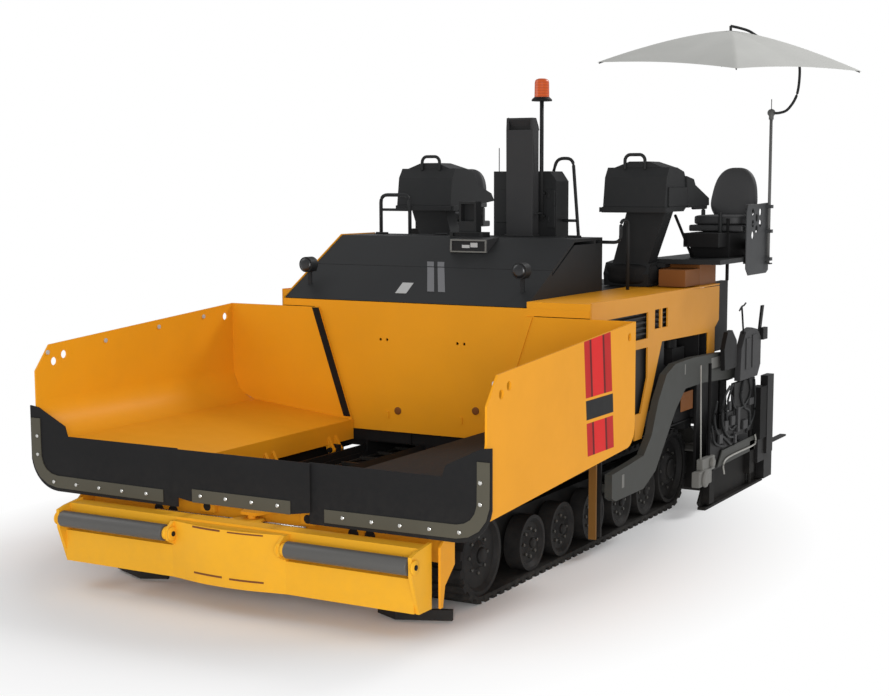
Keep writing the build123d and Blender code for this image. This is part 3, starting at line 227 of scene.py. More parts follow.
def bent(points, bend, samples=6):
    """Rounded corners: each corner P becomes (1-t)^2 A + 2t(1-t) P + t^2 B, with A and B near P by bend."""
    p = np.asarray(points, float)
    t = np.linspace(0, 1, samples)[:, None]
    path = [p[:1]]
    for before, at, after in zip(p[:-2], p[1:-1], p[2:]):
        a, b = [at + (end - at) * min(bend / np.linalg.norm(end - at), 0.5) for end in (before, after)]
        path.append((1 - t) ** 2 * a + 2 * t * (1 - t) * at + t**2 * b)
    return np.vstack([*path, p[-1:]])


def turn_about(axis, degrees):
    """The 3 by 3 matrix that turns points about one axis."""
    return np.array(Matrix.Rotation(math.radians(degrees), 3, axis))


# %% [markdown]
# ## Finishes as Python expressions
# A paint is a colour, a roughness and a little unevenness. The unevenness is arithmetic on noise,
# so one small class lets a node's output be added and multiplied like a number. Patterns read
# Object coordinates, which on this machine are its real places in metres.

# %% The two classes behind every finish
def both_ways(operation):
    """Two methods for one operation: reading with other, and other with reading."""
    def forward(self, other):
        return self._math(operation, self, other)

    def reflected(self, other):
        return self._math(operation, other, self)

    return forward, reflected


class Reading:
    """A number that varies over a surface; arithmetic on it adds Math nodes."""

    __add__, __radd__ = both_ways("ADD")
    __sub__, __rsub__ = both_ways("SUBTRACT")
    __mul__, __rmul__ = both_ways("MULTIPLY")
    __truediv__, __rtruediv__ = both_ways("DIVIDE")

    def __init__(self, finish, socket):
        self.finish, self.socket = finish, socket

    def _math(self, operation, *values, clamp=False):
        """A Math node on the values, as a new reading."""
        settings = {"operation": operation, "use_clamp": clamp}
        node = self.finish.node("ShaderNodeMath", settings, dict(enumerate(values)))
        return Reading(self.finish, node.outputs[0])

    def clamped(self):
        """The value kept between 0 and 1."""
        return self._math("ADD", self, 0.0, clamp=True)

    def absolute(self):
        """The value without its sign."""
        return self._math("ABSOLUTE", self)

    def within(self, low, high, soft=0.002):
        """1 between low and high, falling to 0 over the soft edge on either side."""
        return (1 + (self - low) / soft).clamped() * (1 + (high - self) / soft).clamped()


class Finish:
    """One material: a Principled shader and the nodes that feed it."""

    def __init__(self, name, **constants):
        self.material = bpy.data.materials.new(name)
        self.material.use_nodes = True
        self.tree = self.material.node_tree
        self.shader = self.tree.nodes["Principled BSDF"]
        for socket, value in constants.items():
            self.shader.inputs[socket.replace("_", " ")].default_value = value
        self._place = None

    def node(self, kind, settings=None, inputs=None):
        """Any node: its settings first, then a value or a link for each named or numbered input."""
        made = self.tree.nodes.new(kind)
        for key, value in (settings or {}).items():
            setattr(made, key, value)
        for key, value in (inputs or {}).items():
            self.feed(made.inputs[key], value)
        return made

    def feed(self, socket, value):
        """A reading or an output is linked to the socket; anything else is written into it."""
        if isinstance(value, Reading):
            self.tree.links.new(value.socket, socket)
        elif isinstance(value, bpy.types.NodeSocket):
            self.tree.links.new(value, socket)
        else:
            socket.default_value = value

    def set(self, name, value):
        """Feed one of the shader's own inputs."""
        self.feed(self.shader.inputs[name], value)

    def where(self):
        """Object coordinates, and x, y and z in metres from the tractor's centre line."""
        if self._place is None:
            coords = self.node("ShaderNodeTexCoord").outputs["Object"]
            parts = self.node("ShaderNodeSeparateXYZ", inputs={0: coords})
            xyz = [Reading(self, parts.outputs[k]) - float(CENTRE[k]) for k in range(3)]
            self._place = (coords, *xyz)
        return self._place

    def vector(self, operation, first, second):
        """Vector Math on two vectors; the node's outputs are a vector and a value."""
        return self.node("ShaderNodeVectorMath", {"operation": operation}, {0: first, 1: second}).outputs

    def noise(self, scale, detail=4.0, roughness=0.55, stretch=None):
        """Noise from 0 to 1 with so many lumps a metre; stretch squeezes it along x, y and z."""
        coords = self.where()[0]
        if stretch:
            coords = self.vector("MULTIPLY", coords, stretch)[0]
        inputs = {"Vector": coords, "Scale": scale, "Detail": detail, "Roughness": roughness}
        return Reading(self, self.node("ShaderNodeTexNoise", inputs=inputs).outputs[0])

    def wave(self, direction, coords, scale):
        """Bands from 0 to 1 across one direction of the coordinates."""
        inputs = {"Vector": coords, "Scale": scale}
        made = self.node("ShaderNodeTexWave", {"bands_direction": direction}, inputs)
        return Reading(self, made.outputs[1])

    def mix(self, share, first, second):
        """first where share is 0 and second where it is 1."""
        made = self.node("ShaderNodeMix", {"data_type": "RGBA"}, {0: share, 6: first, 7: second})
        return made.outputs[2]

    def bump(self, height, strength, distance):
        """Tilt the shading by a height from 0 to 1 that stands for so many metres."""
        inputs = {"Height": height, "Strength": strength, "Distance": distance}
        self.set("Normal", self.node("ShaderNodeBump", inputs=inputs).outputs[0])


def colour(r, g, b):
    """An sRGB colour from 0 to 255 as linear light with alpha 1."""
    s = np.array([r, g, b]) / 255.0
    linear = np.where(s <= 0.04045, s / 12.92, ((s + 0.055) / 1.055) ** 2.4)
    return (*[float(v) for v in linear], 1.0)


def shade(c, k):
    """The same colour, k times as bright."""
    return (c[0] * k, c[1] * k, c[2] * k, 1.0)


# %% [markdown]
# ## Paint
# The machine is sprayed: bright yellow sheet metal, charcoal hood and consoles, near-black running
# gear. Fresh paint has a slow change of tone, a fine orange peel and a little road dust low down.

# %% Paint colours and the paint recipe
YELLOW = colour(230, 155, 28)
# A lighter copy of the yellow, painted light on the push beam's front.
LIT_BEAM_YELLOW = colour(236, 172, 40)
# Yellow as it looks in shadow, for painted shade on yellow parts.
SHADED_YELLOW = colour(122, 74, 34)
CHARCOAL = colour(36, 37, 38)
RUNNING_GREY = colour(24, 24, 25)
DUST = colour(104, 98, 90)
RED = colour(212, 26, 26)
DARK_RED = colour(96, 8, 8)
BLACK = colour(20, 20, 21)
ORANGE_PEEL = 0.05


def painted(name, base, roughness=0.45, coat=0.02, dust=0.15, dust_top=0.9, shine=0.12):
    """Base colour times 0.93 to 1.05 by slow noise, under dust that fades out at dust_top metres."""
    f = Finish(name, Roughness=roughness, Coat_Roughness=0.18, Specular_IOR_Level=shine)
    slow, fine = f.noise(1.3, 3.0), f.noise(9.0, 6.0, 0.65)
    tone = f.mix((slow * 1.6 - 0.3).clamped(), shade(base, 0.93), shade(base, 1.05))
    low = (1 - f.where()[3] / dust_top).clamped()
    dusty = (low * dust + 0.03) * (fine * 2.2 - 0.5).clamped()
    f.tone = f.mix(dusty, tone, DUST)
    f.set("Base Color", f.tone)
    f.set("Roughness", (roughness + dusty * 0.35 + (fine - 0.5) * 0.10).clamped())
    f.set("Coat Weight", (coat - dusty).clamped())
    f.bump(f.noise(160.0, 2.0) * 0.7 + fine * 0.3, ORANGE_PEEL, 0.002)
    return f


yellow_paint = painted("yellow_paint", YELLOW)
# The push beam's lighter yellow is painted light.
beam_paint = painted("push_beam_paint", LIT_BEAM_YELLOW, dust=0.08)
charcoal_paint = painted("charcoal_paint", CHARCOAL, 0.5, dust=0.05, shine=0.15)
duct_paint = painted("duct_paint", colour(50, 50, 51), 0.5, dust=0.05, shine=0.15)
running_paint = painted("running_gear_paint", RUNNING_GREY, 0.55, dust=0.12, dust_top=0.7)
black_paint = painted("black_paint", BLACK, 0.5, dust=0.05)
arm_paint = painted("tow_arm_paint", colour(60, 61, 58), 0.5, dust=0.1, shine=0.15)
cast_grey = painted("cast_grey_paint", colour(112, 111, 107), 0.5, dust=0.2, dust_top=1.2, shine=0.2)
mast_paint = painted("mast_paint", colour(98, 98, 97), dust=0.0, shine=0.15)
screed_paint = painted("screed_paint", colour(13, 13, 14), 0.6, 0.0, 0.10, 0.5, shine=0.08)
# Yellow in painted shade, for yellow parts that lie in shadow.
shaded_yellow_paint = painted("shaded_yellow_paint", SHADED_YELLOW, 0.55)
strip_paint = painted("strip_paint", colour(80, 77, 66), 0.5, dust_top=1.2, shine=0.15)
roller_paint = painted("roller_paint", colour(84, 83, 81), 0.4, 0.03, 0.1, shine=0.3)


def patched(f, share, other):
    """The finish with another colour where the share is 1."""
    f.tone = f.mix(share, f.tone, other)
    f.set("Base Color", f.tone)
    return f


# The body is brown on the boxes above its shoulder and duller on its sides, both painted shade on its yellow.
body_yellow = painted("body_paint", YELLOW)
x, y, z = body_yellow.where()[1:]
patched(body_yellow, z.within(1.885, 2.3) * y.within(1.2, 2.2), SHADED_YELLOW)
patched(body_yellow, x.absolute().within(1.44, 1.5) * 0.30, colour(150, 112, 76))
# The stations are lighter on their guard plates, and the tow posts brown on their front edge.
station_charcoal = painted("station_paint", CHARCOAL, 0.5, dust=0.05, shine=0.15)
guards = station_charcoal.where()[1].absolute().within(1.668, 1.75, 0.001)
patched(station_charcoal, guards, colour(62, 63, 64))
post_dark = painted("tow_post_paint", RUNNING_GREY, 0.55, dust=0.12, dust_top=0.7)
patched(post_dark, post_dark.where()[2].within(-0.6, -0.538, 0.001), colour(120, 84, 40))
print("paints made:", len(bpy.data.materials))

# %% [markdown]
# ## Bands on the wings
# Each wing's outer plate carries two red bands split by dark lines, with a blank black plate across
# them. They are flat colour, so they belong in the paint and not in the shape. The bands lean back
# a little towards the top, so the place along the wing is corrected by the height first.

# %% Wing paint with red bands and a blank plate
BAND_FRONT, BAND_WIDTH, BAND_LEAN = -1.455, 0.435, 0.095
BAND_TOP, BAND_LOW = (1.325, 1.80), (0.925, 1.150)
EDGE_Y, EDGE_TOP, EDGE_RISE = -1.541, 1.706, 0.072
PLATE_Z = (1.175, 1.305)
LINE_SHARES = (0.23, 0.72)


def wing_paint():
    """Yellow paint; where |x| is the outer face, red between the band's edges, darker at the lines."""
    f = painted("wing_paint", YELLOW, coat=0.0, shine=0.10)
    coords, x, y, z = f.where()
    outside = x.absolute().within(1.796, 1.9)
    along = (y - BAND_FRONT + (z - BAND_LOW[0]) * BAND_LEAN) / BAND_WIDTH
    across = along.within(0.0, 1.0, 0.006)
    below_edge = (z - (y - EDGE_Y) * EDGE_RISE).within(0.0, EDGE_TOP)
    height = (z.within(*BAND_TOP) + z.within(*BAND_LOW)).clamped() * below_edge
    lines = sum(along.within(s - 0.03, s + 0.03, 0.012) for s in LINE_SHARES)
    edges = (1 - along.within(0.20, 0.74, 0.02)).clamped()
    red = f.mix(edges * 0.35, RED, DARK_RED)
    red = f.mix(lines.clamped(), red, DARK_RED)
    tone = f.mix(outside * across * height, f.tone, red)
    plate = outside * along.within(0.0, 1.02, 0.006) * z.within(*PLATE_Z)
    f.set("Base Color", f.mix(plate, tone, BLACK))
    return f


striped_paint = wing_paint()
print("bands from", BAND_LOW[0], "to", BAND_TOP[1], "m")

# %% [markdown]
# ## Rubber, steel, cloth and plastic
# Rubber is nearly black and dull with pale dust that grows towards the ground. Worn steel is bare where the
# mix rubs it. The umbrella is a coated woven cloth and the beacon a clear amber plastic.

# %% The other finishes
def rubber(name, base, dust, dust_top=0.35):
    """Dark and dull, with dust by fine noise that grows towards the ground."""
    f = Finish(name, Roughness=0.75, Coat_Weight=0.0, Specular_IOR_Level=0.12)
    fine, slow = f.noise(22.0, 6.0, 0.7), f.noise(2.2, 3.0)
    low = (1 - f.where()[3] / dust_top).clamped()
    share = (fine * 1.8 - 0.5).clamped() * (dust + low * 0.25)
    f.tone = f.mix(share, f.mix(slow, shade(base, 0.85), shade(base, 1.2)), DUST)
    f.set("Base Color", f.tone)
    f.set("Roughness", (0.62 + fine * 0.25).clamped())
    f.bump(f.noise(240.0, 3.0), 0.12, 0.002)
    return f


def steel(name, base, roughness, scuff=0.5):
    """Bare metal: brighter and duller streaks by stretched noise."""
    f = Finish(name, Metallic=0.9, Roughness=roughness)
    streak, fine = f.noise(14.0, 5.0, 0.6, (1.0, 4.0, 4.0)), f.noise(60.0, 4.0)
    f.set("Base Color", f.mix((streak * 1.8 - 0.4).clamped() * scuff, base, shade(base, 0.45)))
    f.set("Roughness", (roughness + (fine - 0.5) * 0.3).clamped())
    f.bump(fine, 0.08, 0.001)
    return f


def woven(name, base):
    """Cloth: two crossed sets of threads as waves on the cloth's own map, and slow folds of tone."""
    f = Finish(name, Roughness=0.8, Sheen_Weight=0.15)
    uv = f.node("ShaderNodeUVMap", {"uv_map": "weave"}).outputs[0]
    warp, weft = f.wave("X", uv, 90.0), f.wave("Y", uv, 90.0)
    slow = f.noise(3.0, 3.0)
    f.set("Base Color", f.mix((slow * 1.5 - 0.25).clamped(), shade(base, 0.92), shade(base, 1.05)))
    f.bump(warp * 0.5 + weft * 0.5, 0.1, 0.001)
    return f


def moulded(name, base, roughness, grain=80.0, coat=0.0):
    """Moulded plastic: one colour with a fine leather-like grain."""
    f = Finish(name, Roughness=roughness, Coat_Weight=coat)
    slow, fine = f.noise(4.0, 3.0), f.noise(grain, 2.0)
    f.set("Base Color", f.mix(slow, shade(base, 0.85), shade(base, 1.15)))
    f.set("Roughness", (roughness + (slow - 0.5) * 0.12).clamped())
    f.bump(fine, 0.1, 0.001)
    return f


belt_rubber = rubber("belt_rubber", RUNNING_GREY, 0.08)
apron_rubber = rubber("apron_rubber", colour(29, 29, 30), 0.04, 0.9)
worn_steel = steel("worn_steel", colour(92, 90, 86), 0.5)
bright_steel = steel("bright_steel", colour(205, 204, 200), 0.28, 0.2)
canopy_cloth = woven("canopy_cloth", colour(172, 172, 167))
seat_vinyl = moulded("seat_vinyl", colour(46, 46, 47), 0.6, 220.0)
lamp_glass = moulded("lamp_glass", colour(24, 25, 27), 0.3, 60.0, 0.1)
slot_shadow = moulded("slot_shadow", colour(112, 60, 20), 0.8)
pale_steel = moulded("pale_steel", colour(150, 148, 142), 0.4, 60.0)
pale_plate = moulded("pale_plate", colour(176, 176, 174), 0.5)
mid_plate = moulded("mid_plate", colour(104, 104, 106), 0.5)
# Near-black painted shade, for the insides of holes and open mouths.
painted_shade = moulded("painted_shade", colour(12, 12, 12), 0.8)


def beacon_finish():
    """Amber plastic with ribs by a wave up z; black where z is below the lens's foot."""
    f = moulded("beacon_amber", colour(206, 84, 14), 0.35, 60.0, 0.08)
    coords, x, y, z = f.where()
    flange = z.within(3.2, 3.460, 0.001)
    glass = f.mix(f.wave("Z", coords, 14.0) * 0.35, colour(206, 84, 14), colour(120, 40, 8))
    f.set("Base Color", f.mix(flange, glass, BLACK))
    return f


amber = beacon_finish()
print("finishes made:", len(bpy.data.materials))

# %% [markdown]
# ## Dressing the CAD pieces
# A CAD piece keeps its mesh and only gets a better material in its slot.

# %% Which piece wears what
WEARS = {
    yellow_paint: "front_crossmember hopper_rear_wall",
    beam_paint: "push_beam",
    body_yellow: "body_sides",
    station_charcoal: "station_left station_right",
    post_dark: "tow_point_posts",
    striped_paint: "wing_left wing_right",
    charcoal_paint: "hood_cowl hood_lid stack_and_cabinet platform_deck hand_rails louvre_screens"
                    " umbrella_mast",
    running_paint: "main_frame track_wheels track_frames conveyor_tunnel track_scrapers engine_and_pumps"
                   " auger_hanger lift_barrel_left lift_barrel_right",
    screed_paint: "screed extension_left extension_right",
    arm_paint: "tow_arms",
    belt_rubber: "track_left track_right",
    apron_rubber: "wing_rubber_left wing_rubber_right centre_apron",
    worn_steel: "conveyors auger_left auger_right",
    bright_steel: "lift_rod_left lift_rod_right",
    roller_paint: "push_roller_left push_roller_right",
    amber: "beacon",
    seat_vinyl: "seat_left seat_right",
    canopy_cloth: "umbrella_canopy",
}
dressed = {node: finish for finish, nodes in WEARS.items() for node in nodes.split()}
for node, finish in dressed.items():
    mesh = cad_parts[node].data
    mesh.materials.clear()
    mesh.materials.append(finish.material)
print("undressed nodes:", sorted(set(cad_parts) - set(dressed)))

# %% [markdown]
# ## The umbrella's cloth
# The cloth is one square panel stretched over four bowed ribs. Between the ribs its edge is drawn
# in and up. It is a function of two parameters that run from -1 to 1 across the square, so the
# weave can follow the cloth on the same two numbers.

# %% A square cloth on bowed ribs
CANOPY_CENTRE = np.array([1353.0, 2455.0, 3780.0])
CANOPY_TURN = turn_about("X", 3.6) @ turn_about("Y", 4.1) @ turn_about("Z", -22.3)
CANOPY_HALF, CANOPY_PEAK, CANOPY_BOW = 826.0, 315.0, 1.45
EDGE_IN, EDGE_UP, PANEL_SAG, CLOTH_STEPS = 46.0, 26.0, 64.0, 97


def on_cloth(local):
    """Points in the umbrella's own axes, turned and moved to its place."""
    return local @ CANOPY_TURN.T + CANOPY_CENTRE


def crown(t):
    """The cloth's height over its rim at t times its half width: peak (1 - t^bow)."""
    return CANOPY_PEAK * (1 - t**CANOPY_BOW)


def canopy():
    """Height is crown(t), t the larger of |u| and |v|; s is the smaller's share of the larger, and
    by 1 - s^2 or 1 - s the edge is drawn in and up and the panel sags between the ribs."""
    line = np.linspace(-1, 1, CLOTH_STEPS)
    u, v = np.meshgrid(line, line, indexing="ij")
    t = np.maximum(np.abs(u), np.abs(v))
    s = np.minimum(np.abs(u), np.abs(v)) / np.maximum(t, 1e-6)
    draw = 1 - EDGE_IN / CANOPY_HALF * (1 - s**2) * t
    height = crown(t) + EDGE_UP * (1 - s**2) * t**2 - PANEL_SAG * (1 - s) * t * (1 - t)
    local = np.stack([CANOPY_HALF * u * draw, CANOPY_HALF * v * draw, height], -1).reshape(-1, 3)
    uv = np.stack([u, v], -1).reshape(-1, 2) * 0.5 + 0.5
    return on_cloth(local), grid_faces(CLOTH_STEPS, CLOTH_STEPS, closed=False), uv


cloth_points, cloth_faces, cloth_uv = canopy()
cloth = make_piece("umbrella_cloth", (cloth_points, cloth_faces), canopy_cloth, "umbrella", "canopy_cloth",
                   "umbrella_canopy", smooth=True, closed=False)
weave = cloth.data.uv_layers.new(name="weave")
loops = np.zeros(len(cloth.data.loops), int)
cloth.data.loops.foreach_get("vertex_index", loops)
weave.data.foreach_set("uv", cloth_uv[loops].ravel())

# %% [markdown]
# ## The umbrella's pole, neck and ribs
# The pole stands on the left station. Its neck leans in, turns up and meets the cloth's peak, and
# four ribs run from there to the cloth's corners, just below it.

# %% Pole, neck and ribs
MAST_X, MAST_Y, MAST_FOOT, MAST_TOP = 1697.3, 2642.0, 2040.0, 3377.0
NECK = np.array([(0, 3377), (70, 3376), (150, 3410), (225, 3530), (248, 3700), (235, 3830), (170, 3915),
                 (60, 3965), (-60, 3995), (-140, 4045), (-220, 4092), (-300, 4116), (-384, 4134)], float)
OUT_X, OUT_Y = 0.841, 0.541
RIB_DROP, RIB_SAMPLES = 14.0, 20


def on_neck(rows):
    """(distance out, height) pairs as points: the mast's foot plus distance times the neck's direction."""
    return np.column_stack([MAST_X + rows[:, 0] * OUT_X, MAST_Y + rows[:, 0] * OUT_Y, rows[:, 1]])


def rib(way_x, way_y):
    """A path along the cloth's diagonal, just below it: the cloth's own height with |u| = |v|."""
    t = np.linspace(0.02, 0.985, RIB_SAMPLES)
    return on_cloth(np.column_stack([CANOPY_HALF * t * way_x, CANOPY_HALF * t * way_y, crown(t) - RIB_DROP]))


def up_mast(*heights):
    """Points on the pole, given from its top."""
    return upright(MAST_X, MAST_Y, *[MAST_TOP + h for h in heights])


apex = on_cloth(np.array([0, 0, CANOPY_PEAK]))
neck_path = curve_through(on_neck(NECK), 8)
ribs = [pipe(rib(x, y), 6, 8) for x, y in ((1, 1), (-1, 1), (-1, -1), (1, -1))]
pole = [pipe(up_mast(MAST_FOOT - MAST_TOP, 2600 - MAST_TOP, -40), 14, 14),
        pipe(up_mast(-60, -20, 20), 22, 14),
        turned([(-10, 0), (-10, 34), (10, 34), (10, 0)], up_mast(0)[0], (OUT_Y, -OUT_X, 0), 20),
        pipe(up_mast(0, 60, 120), 4, 8)]
neck = [pipe(neck_path, 12, 14), pipe([apex - [0, 0, 150], apex, neck_path[-1]], 12), *ribs]
make_piece("umbrella_pole", joined(pole), mast_paint, "umbrella", "frame_grey", "umbrella_mast", smooth=True)
make_piece("umbrella_neck", joined(neck), charcoal_paint, "umbrella", "charcoal_grey", "umbrella_mast",
           smooth=True)

# %% [markdown]
# ## Seats
# Each operator sits on a foam seat with a high rounded back. A foam piece is a rounded box: a
# sphere's grid pushed out towards a box by a power, so one formula gives base and back.

# %% Foam seats with rounded backs
def bulged(centre, half, power, turn=None, rows=32, columns=48):
    """A superellipsoid: x = a sgn(cos)|cos|^p and so on, from a sphere's two angles."""
    lat = np.linspace(-math.pi / 2, math.pi / 2, rows)[:, None]
    lon = np.linspace(-math.pi, math.pi, columns, endpoint=False)[None]

    def curl(value, p):
        return np.sign(value) * np.abs(value) ** p

    x = curl(np.cos(lat), power[0]) * curl(np.cos(lon), power[1])
    y = curl(np.cos(lat), power[0]) * curl(np.sin(lon), power[1])
    z = curl(np.sin(lat), power[0]) * np.ones_like(lon)
    points = np.stack([x * half[0], y * half[1], z * half[2]], -1).reshape(-1, 3)
    if turn is not None:
        points = points @ turn.T
    return points + np.asarray(centre, float), grid_faces(rows, columns)


SEAT_X, SEAT_Y = 1388.0, 2360.0
BACK_LEAN, BACK_TAPER, TAPER_FROM, TAPER_OVER = -15, 0.22, 2560, 340
base = bulged((SEAT_X, SEAT_Y - 10, 2430), (235, 240, 45), (0.35, 0.4))
back = bulged((SEAT_X, SEAT_Y + 235, 2655), (222, 62, 245), (0.72, 0.62), turn_about("X", BACK_LEAN))
narrow = 1 - BACK_TAPER * np.clip((back[0][:, 2] - TAPER_FROM) / TAPER_OVER, 0, 1)
back[0][:, 0] = SEAT_X + (back[0][:, 0] - SEAT_X) * narrow
for part, shape in (("base", base), ("back", back)):
    for pad in make_pair(f"seat_{part}_*", shape, seat_vinyl, "station_*", "seat_vinyl", smooth=True):
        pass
shell = [(SEAT_X - 250, SEAT_X + 250, 2100, 2620, 2332, 2388)]
for x in (SEAT_X - 250, SEAT_X + 250):
    shell += [(x - 20, x + 20, 2200, 2520, 2520, 2570), (x - 15, x + 15, 2440, 2490, 2340, 2520)]
make_pair("seat_frame_*", boxes(shell), seat_vinyl, "station_*", "seat_vinyl", "seat_*", bevel=12)

# %% [markdown]
# ## The aprons and their clamp strips
# The rubber aprons hang from steel strips with round-headed bolts. The strip follows the lower edge
# and the rounded outer corner. It is a flat band: a centre line in the apron's plane, widened to
# both sides by half its width.

# %% Rubber sheets, strips and bolts at the front
HOPPER_FRONT, GAP, RUBBER, STRIP, CENTRE_STEP = -2880.0, 0.3, 14.0, 8.0, 8.0
APRON_FACE = HOPPER_FRONT - GAP - RUBBER
CENTRE_BACK = APRON_FACE - CENTRE_STEP
APRON_TOP = [(531, 612), (531, 1008), (1500, 1008), (1522, 1078), (1765, 1196), (1840, 1206), (1840, 830)]
APRON_OUTLINE = np.vstack([APRON_TOP, arc((1598, 858), 243, -10, -86), [(1600, 614)]])
STRIP_PATH = [(1786, 1120), (1786, 1000), (1784, 850), (1765, 785), (1726, 732), (1668, 698), (1600, 684),
              (1300, 681), (1000, 679), (650, 677)]
BOLT_ROW = [(1768, 995), (1768, 865), (1625, 682), (1418, 680), (1210, 677), (1005, 677), (791, 680)]


def flat_band(path, width, face):
    """A band on a face along an (x, z) path: each point moved by half the width along its normal."""
    path = np.asarray(path, float)
    step = np.gradient(path, axis=0)
    normal = np.stack([-step[:, 1], step[:, 0]], 1) / np.linalg.norm(step, axis=1)[:, None]
    corners = [(0.5, 0.0), (-0.5, 0.0), (-0.5, STRIP), (0.5, STRIP)]
    rows = [np.insert(path + normal * width * half, 1, face - 0.2 - out, axis=1) for half, out in corners]
    return capped(np.stack(rows, 1))


def strip_bolts(row, face):
    """Bolt heads at (x, z) places on a strip that lies on a face."""
    return studs(np.insert(np.array(row, float), 1, face - 0.2 - STRIP, axis=1), (0, -1, 0), 13, 9)


apron = prism(APRON_OUTLINE, "y", APRON_FACE, APRON_FACE + RUBBER)
make_pair("apron_*", apron, apron_rubber, "wing_*", "black_rubber", "wing_rubber_*", bevel=3)
seam = prism([(633, 914), (693, 914), (985, 1769), (925, 1769)], "y", -672.3, -664.3)
for side, form, finish in (("left", seam, yellow_paint), ("right", mirrored(seam), black_paint)):
    make_piece(f"seam_strip_{side}", form, finish, f"wing_{side}", "black_rubber", f"wing_rubber_{side}")
centre_outline = [(-553, 690), (-415, 668), (415, 668), (553, 690), (553, 1006), (-553, 1006)]
flap = [prism(centre_outline, "y", CENTRE_BACK - RUBBER, CENTRE_BACK),
        boxes([(x - 30, x + 30, CENTRE_BACK, -2668, 690, 704) for x in (-360, 360)]),
        boxes([(x - 30, x + 30, -2679.7, -2667.7, 641, 690) for x in (-360, 360)])]
make_piece("centre_flap", joined(flap), apron_rubber, "tractor", "black_rubber", "centre_apron")

strip = flat_band(STRIP_PATH, 86.0, APRON_FACE)
make_pair("apron_strip_*", strip, strip_paint, "wing_*", "frame_grey", bevel=2)
make_pair("apron_bolts_*", strip_bolts(BOLT_ROW, APRON_FACE), bright_steel, "wing_*", "bare_steel")
strip = flat_band([[-385, 709], [-200, 709], [100, 709], [405, 709]], 88.0, CENTRE_BACK - RUBBER)
make_piece("centre_apron_strip", strip, strip_paint, "tractor", "frame_grey", bevel=2)
bolts = strip_bolts([(x, 714) for x in (-311, -105, 104, 309)], CENTRE_BACK - RUBBER)
make_piece("centre_apron_bolts", bolts, bright_steel, "tractor", "bare_steel")

# %% [markdown]
# ## Inside the hopper
# The photograph shows the left wing's floor covered by dark rubber, pale bolt heads under the wings'
# upper edge and two round bosses low on the rear wall.

# %% Floor mat, bolt heads and bosses
MAT_IN, MAT_OUT, MAT = (622.0, 892.0), (1527.0, 986.0), 6
INNER_X, WALL_FACE = 1785.8, -640.2
WING_BOLTS = [(-2763, 1569), (-2174, 1600), (-1580, 1652), (-1040, 1690)]
WALL_BOSSES = [(-204, 985), (490, 1034)]
mat = prism([MAT_IN, MAT_OUT, (MAT_OUT[0], MAT_OUT[1] + MAT), (MAT_IN[0], MAT_IN[1] + MAT)], "y", -2874, -674)
make_piece("hopper_mat", mat, belt_rubber, "wing_left", "black_rubber", bevel=2)
bolts = studs([(INNER_X, y, z) for y, z in WING_BOLTS], (-1, 0, 0), 17, 9)
make_pair("wing_bolts_*", bolts, pale_plate, "wing_*", "bare_steel")
# The bosses are yellow, painted brown as shade.
bosses = [turned(button(30, 7.5, 2.5, 8), (x, WALL_FACE, z), (0, -1, 0)) for x, z in WALL_BOSSES]
make_piece("wall_bosses", joined(bosses), shaded_yellow_paint, "tractor", "machine_yellow", smooth=True)
# Black plates under the wings' inner edges: dark sheets of painted shade in the gaps there.
gap_plate = boxes([(700, 706, -2640, -664, 640, 745)])
make_piece("gap_plates", joined([gap_plate, mirrored(gap_plate)]), black_paint, "tractor", "charcoal_grey")

# %% [markdown]
# ## The front of the push beam
# The bowed front plate has narrow slots above and below, and each roller turns on a pin between two
# round bosses. The bow's front bulges forward by a parabola.

# %% Slots, rollers and their bosses
BOW_FRONT, BOW_SLOPE, BOW_CURVE, SLOT_SAMPLES = -3101.0, -0.01241, 0.00034981, 16
ROLLER_Y, ROLLER_Z = -3078.0, 481.0
SLOTS = [(-256, -20, 549, 12), (40, 300, 547, 9), (-250, -10, 247, 12), (50, 300, 243, 12)]


def bow_slot(x0, x1, z, height):
    """A dark slot on the bow: y = front + slope |x| + curve x^2, as a thin closed band."""
    x = np.linspace(x0, x1, SLOT_SAMPLES)
    y = BOW_FRONT + BOW_SLOPE * np.abs(x) + BOW_CURVE * x**2
    section = [(-2.2, -0.5), (-2.2, 0.5), (1.0, 0.5), (1.0, -0.5)]
    rows = [np.column_stack([x, y + dy, np.full(SLOT_SAMPLES, z + dz * height)]) for dy, dz in section]
    return capped(np.stack(rows, 1))


def on_pin(profile, x, way, around):
    """A profile turned about the rollers' line, from x on, to the left (1) or to the right (-1)."""
    return turned(profile, (x, ROLLER_Y, ROLLER_Z), (way, 0, 0), around)


make_piece("beam_slots", joined([bow_slot(*row) for row in SLOTS]), slot_shadow, "push_beam", "charcoal_grey")
bosses = [on_pin(button(46, 12, 3, 4), 1414.2, 1, 28), on_pin(button(46, 12, 3, 4), 432.8, -1, 28),
          on_pin(button(44, 29, 3, 4), 455.2, 1, 28)]
bosses += [mirrored(boss) for boss in bosses]
make_piece("roller_bosses", joined(bosses), beam_paint, "push_beam", "machine_yellow", smooth=True)
pins = [on_pin(button(17, 7, 2, 3), x, way, 20) for x, way in ((1426.2, 1), (420.8, -1))]
pins += [mirrored(pin) for pin in pins]
make_piece("roller_pins", joined(pins), black_paint, "push_beam", "charcoal_grey", smooth=True)
drum = on_pin([(0, 0), (0, 50), (4, 55), (892, 55), (896, 50), (896, 0)], 488.0, 1, 40)
make_pair("roller_*", drum, roller_paint, "push_roller_*", "roller_grey", "push_roller_*", smooth=True,
          bevel=2)
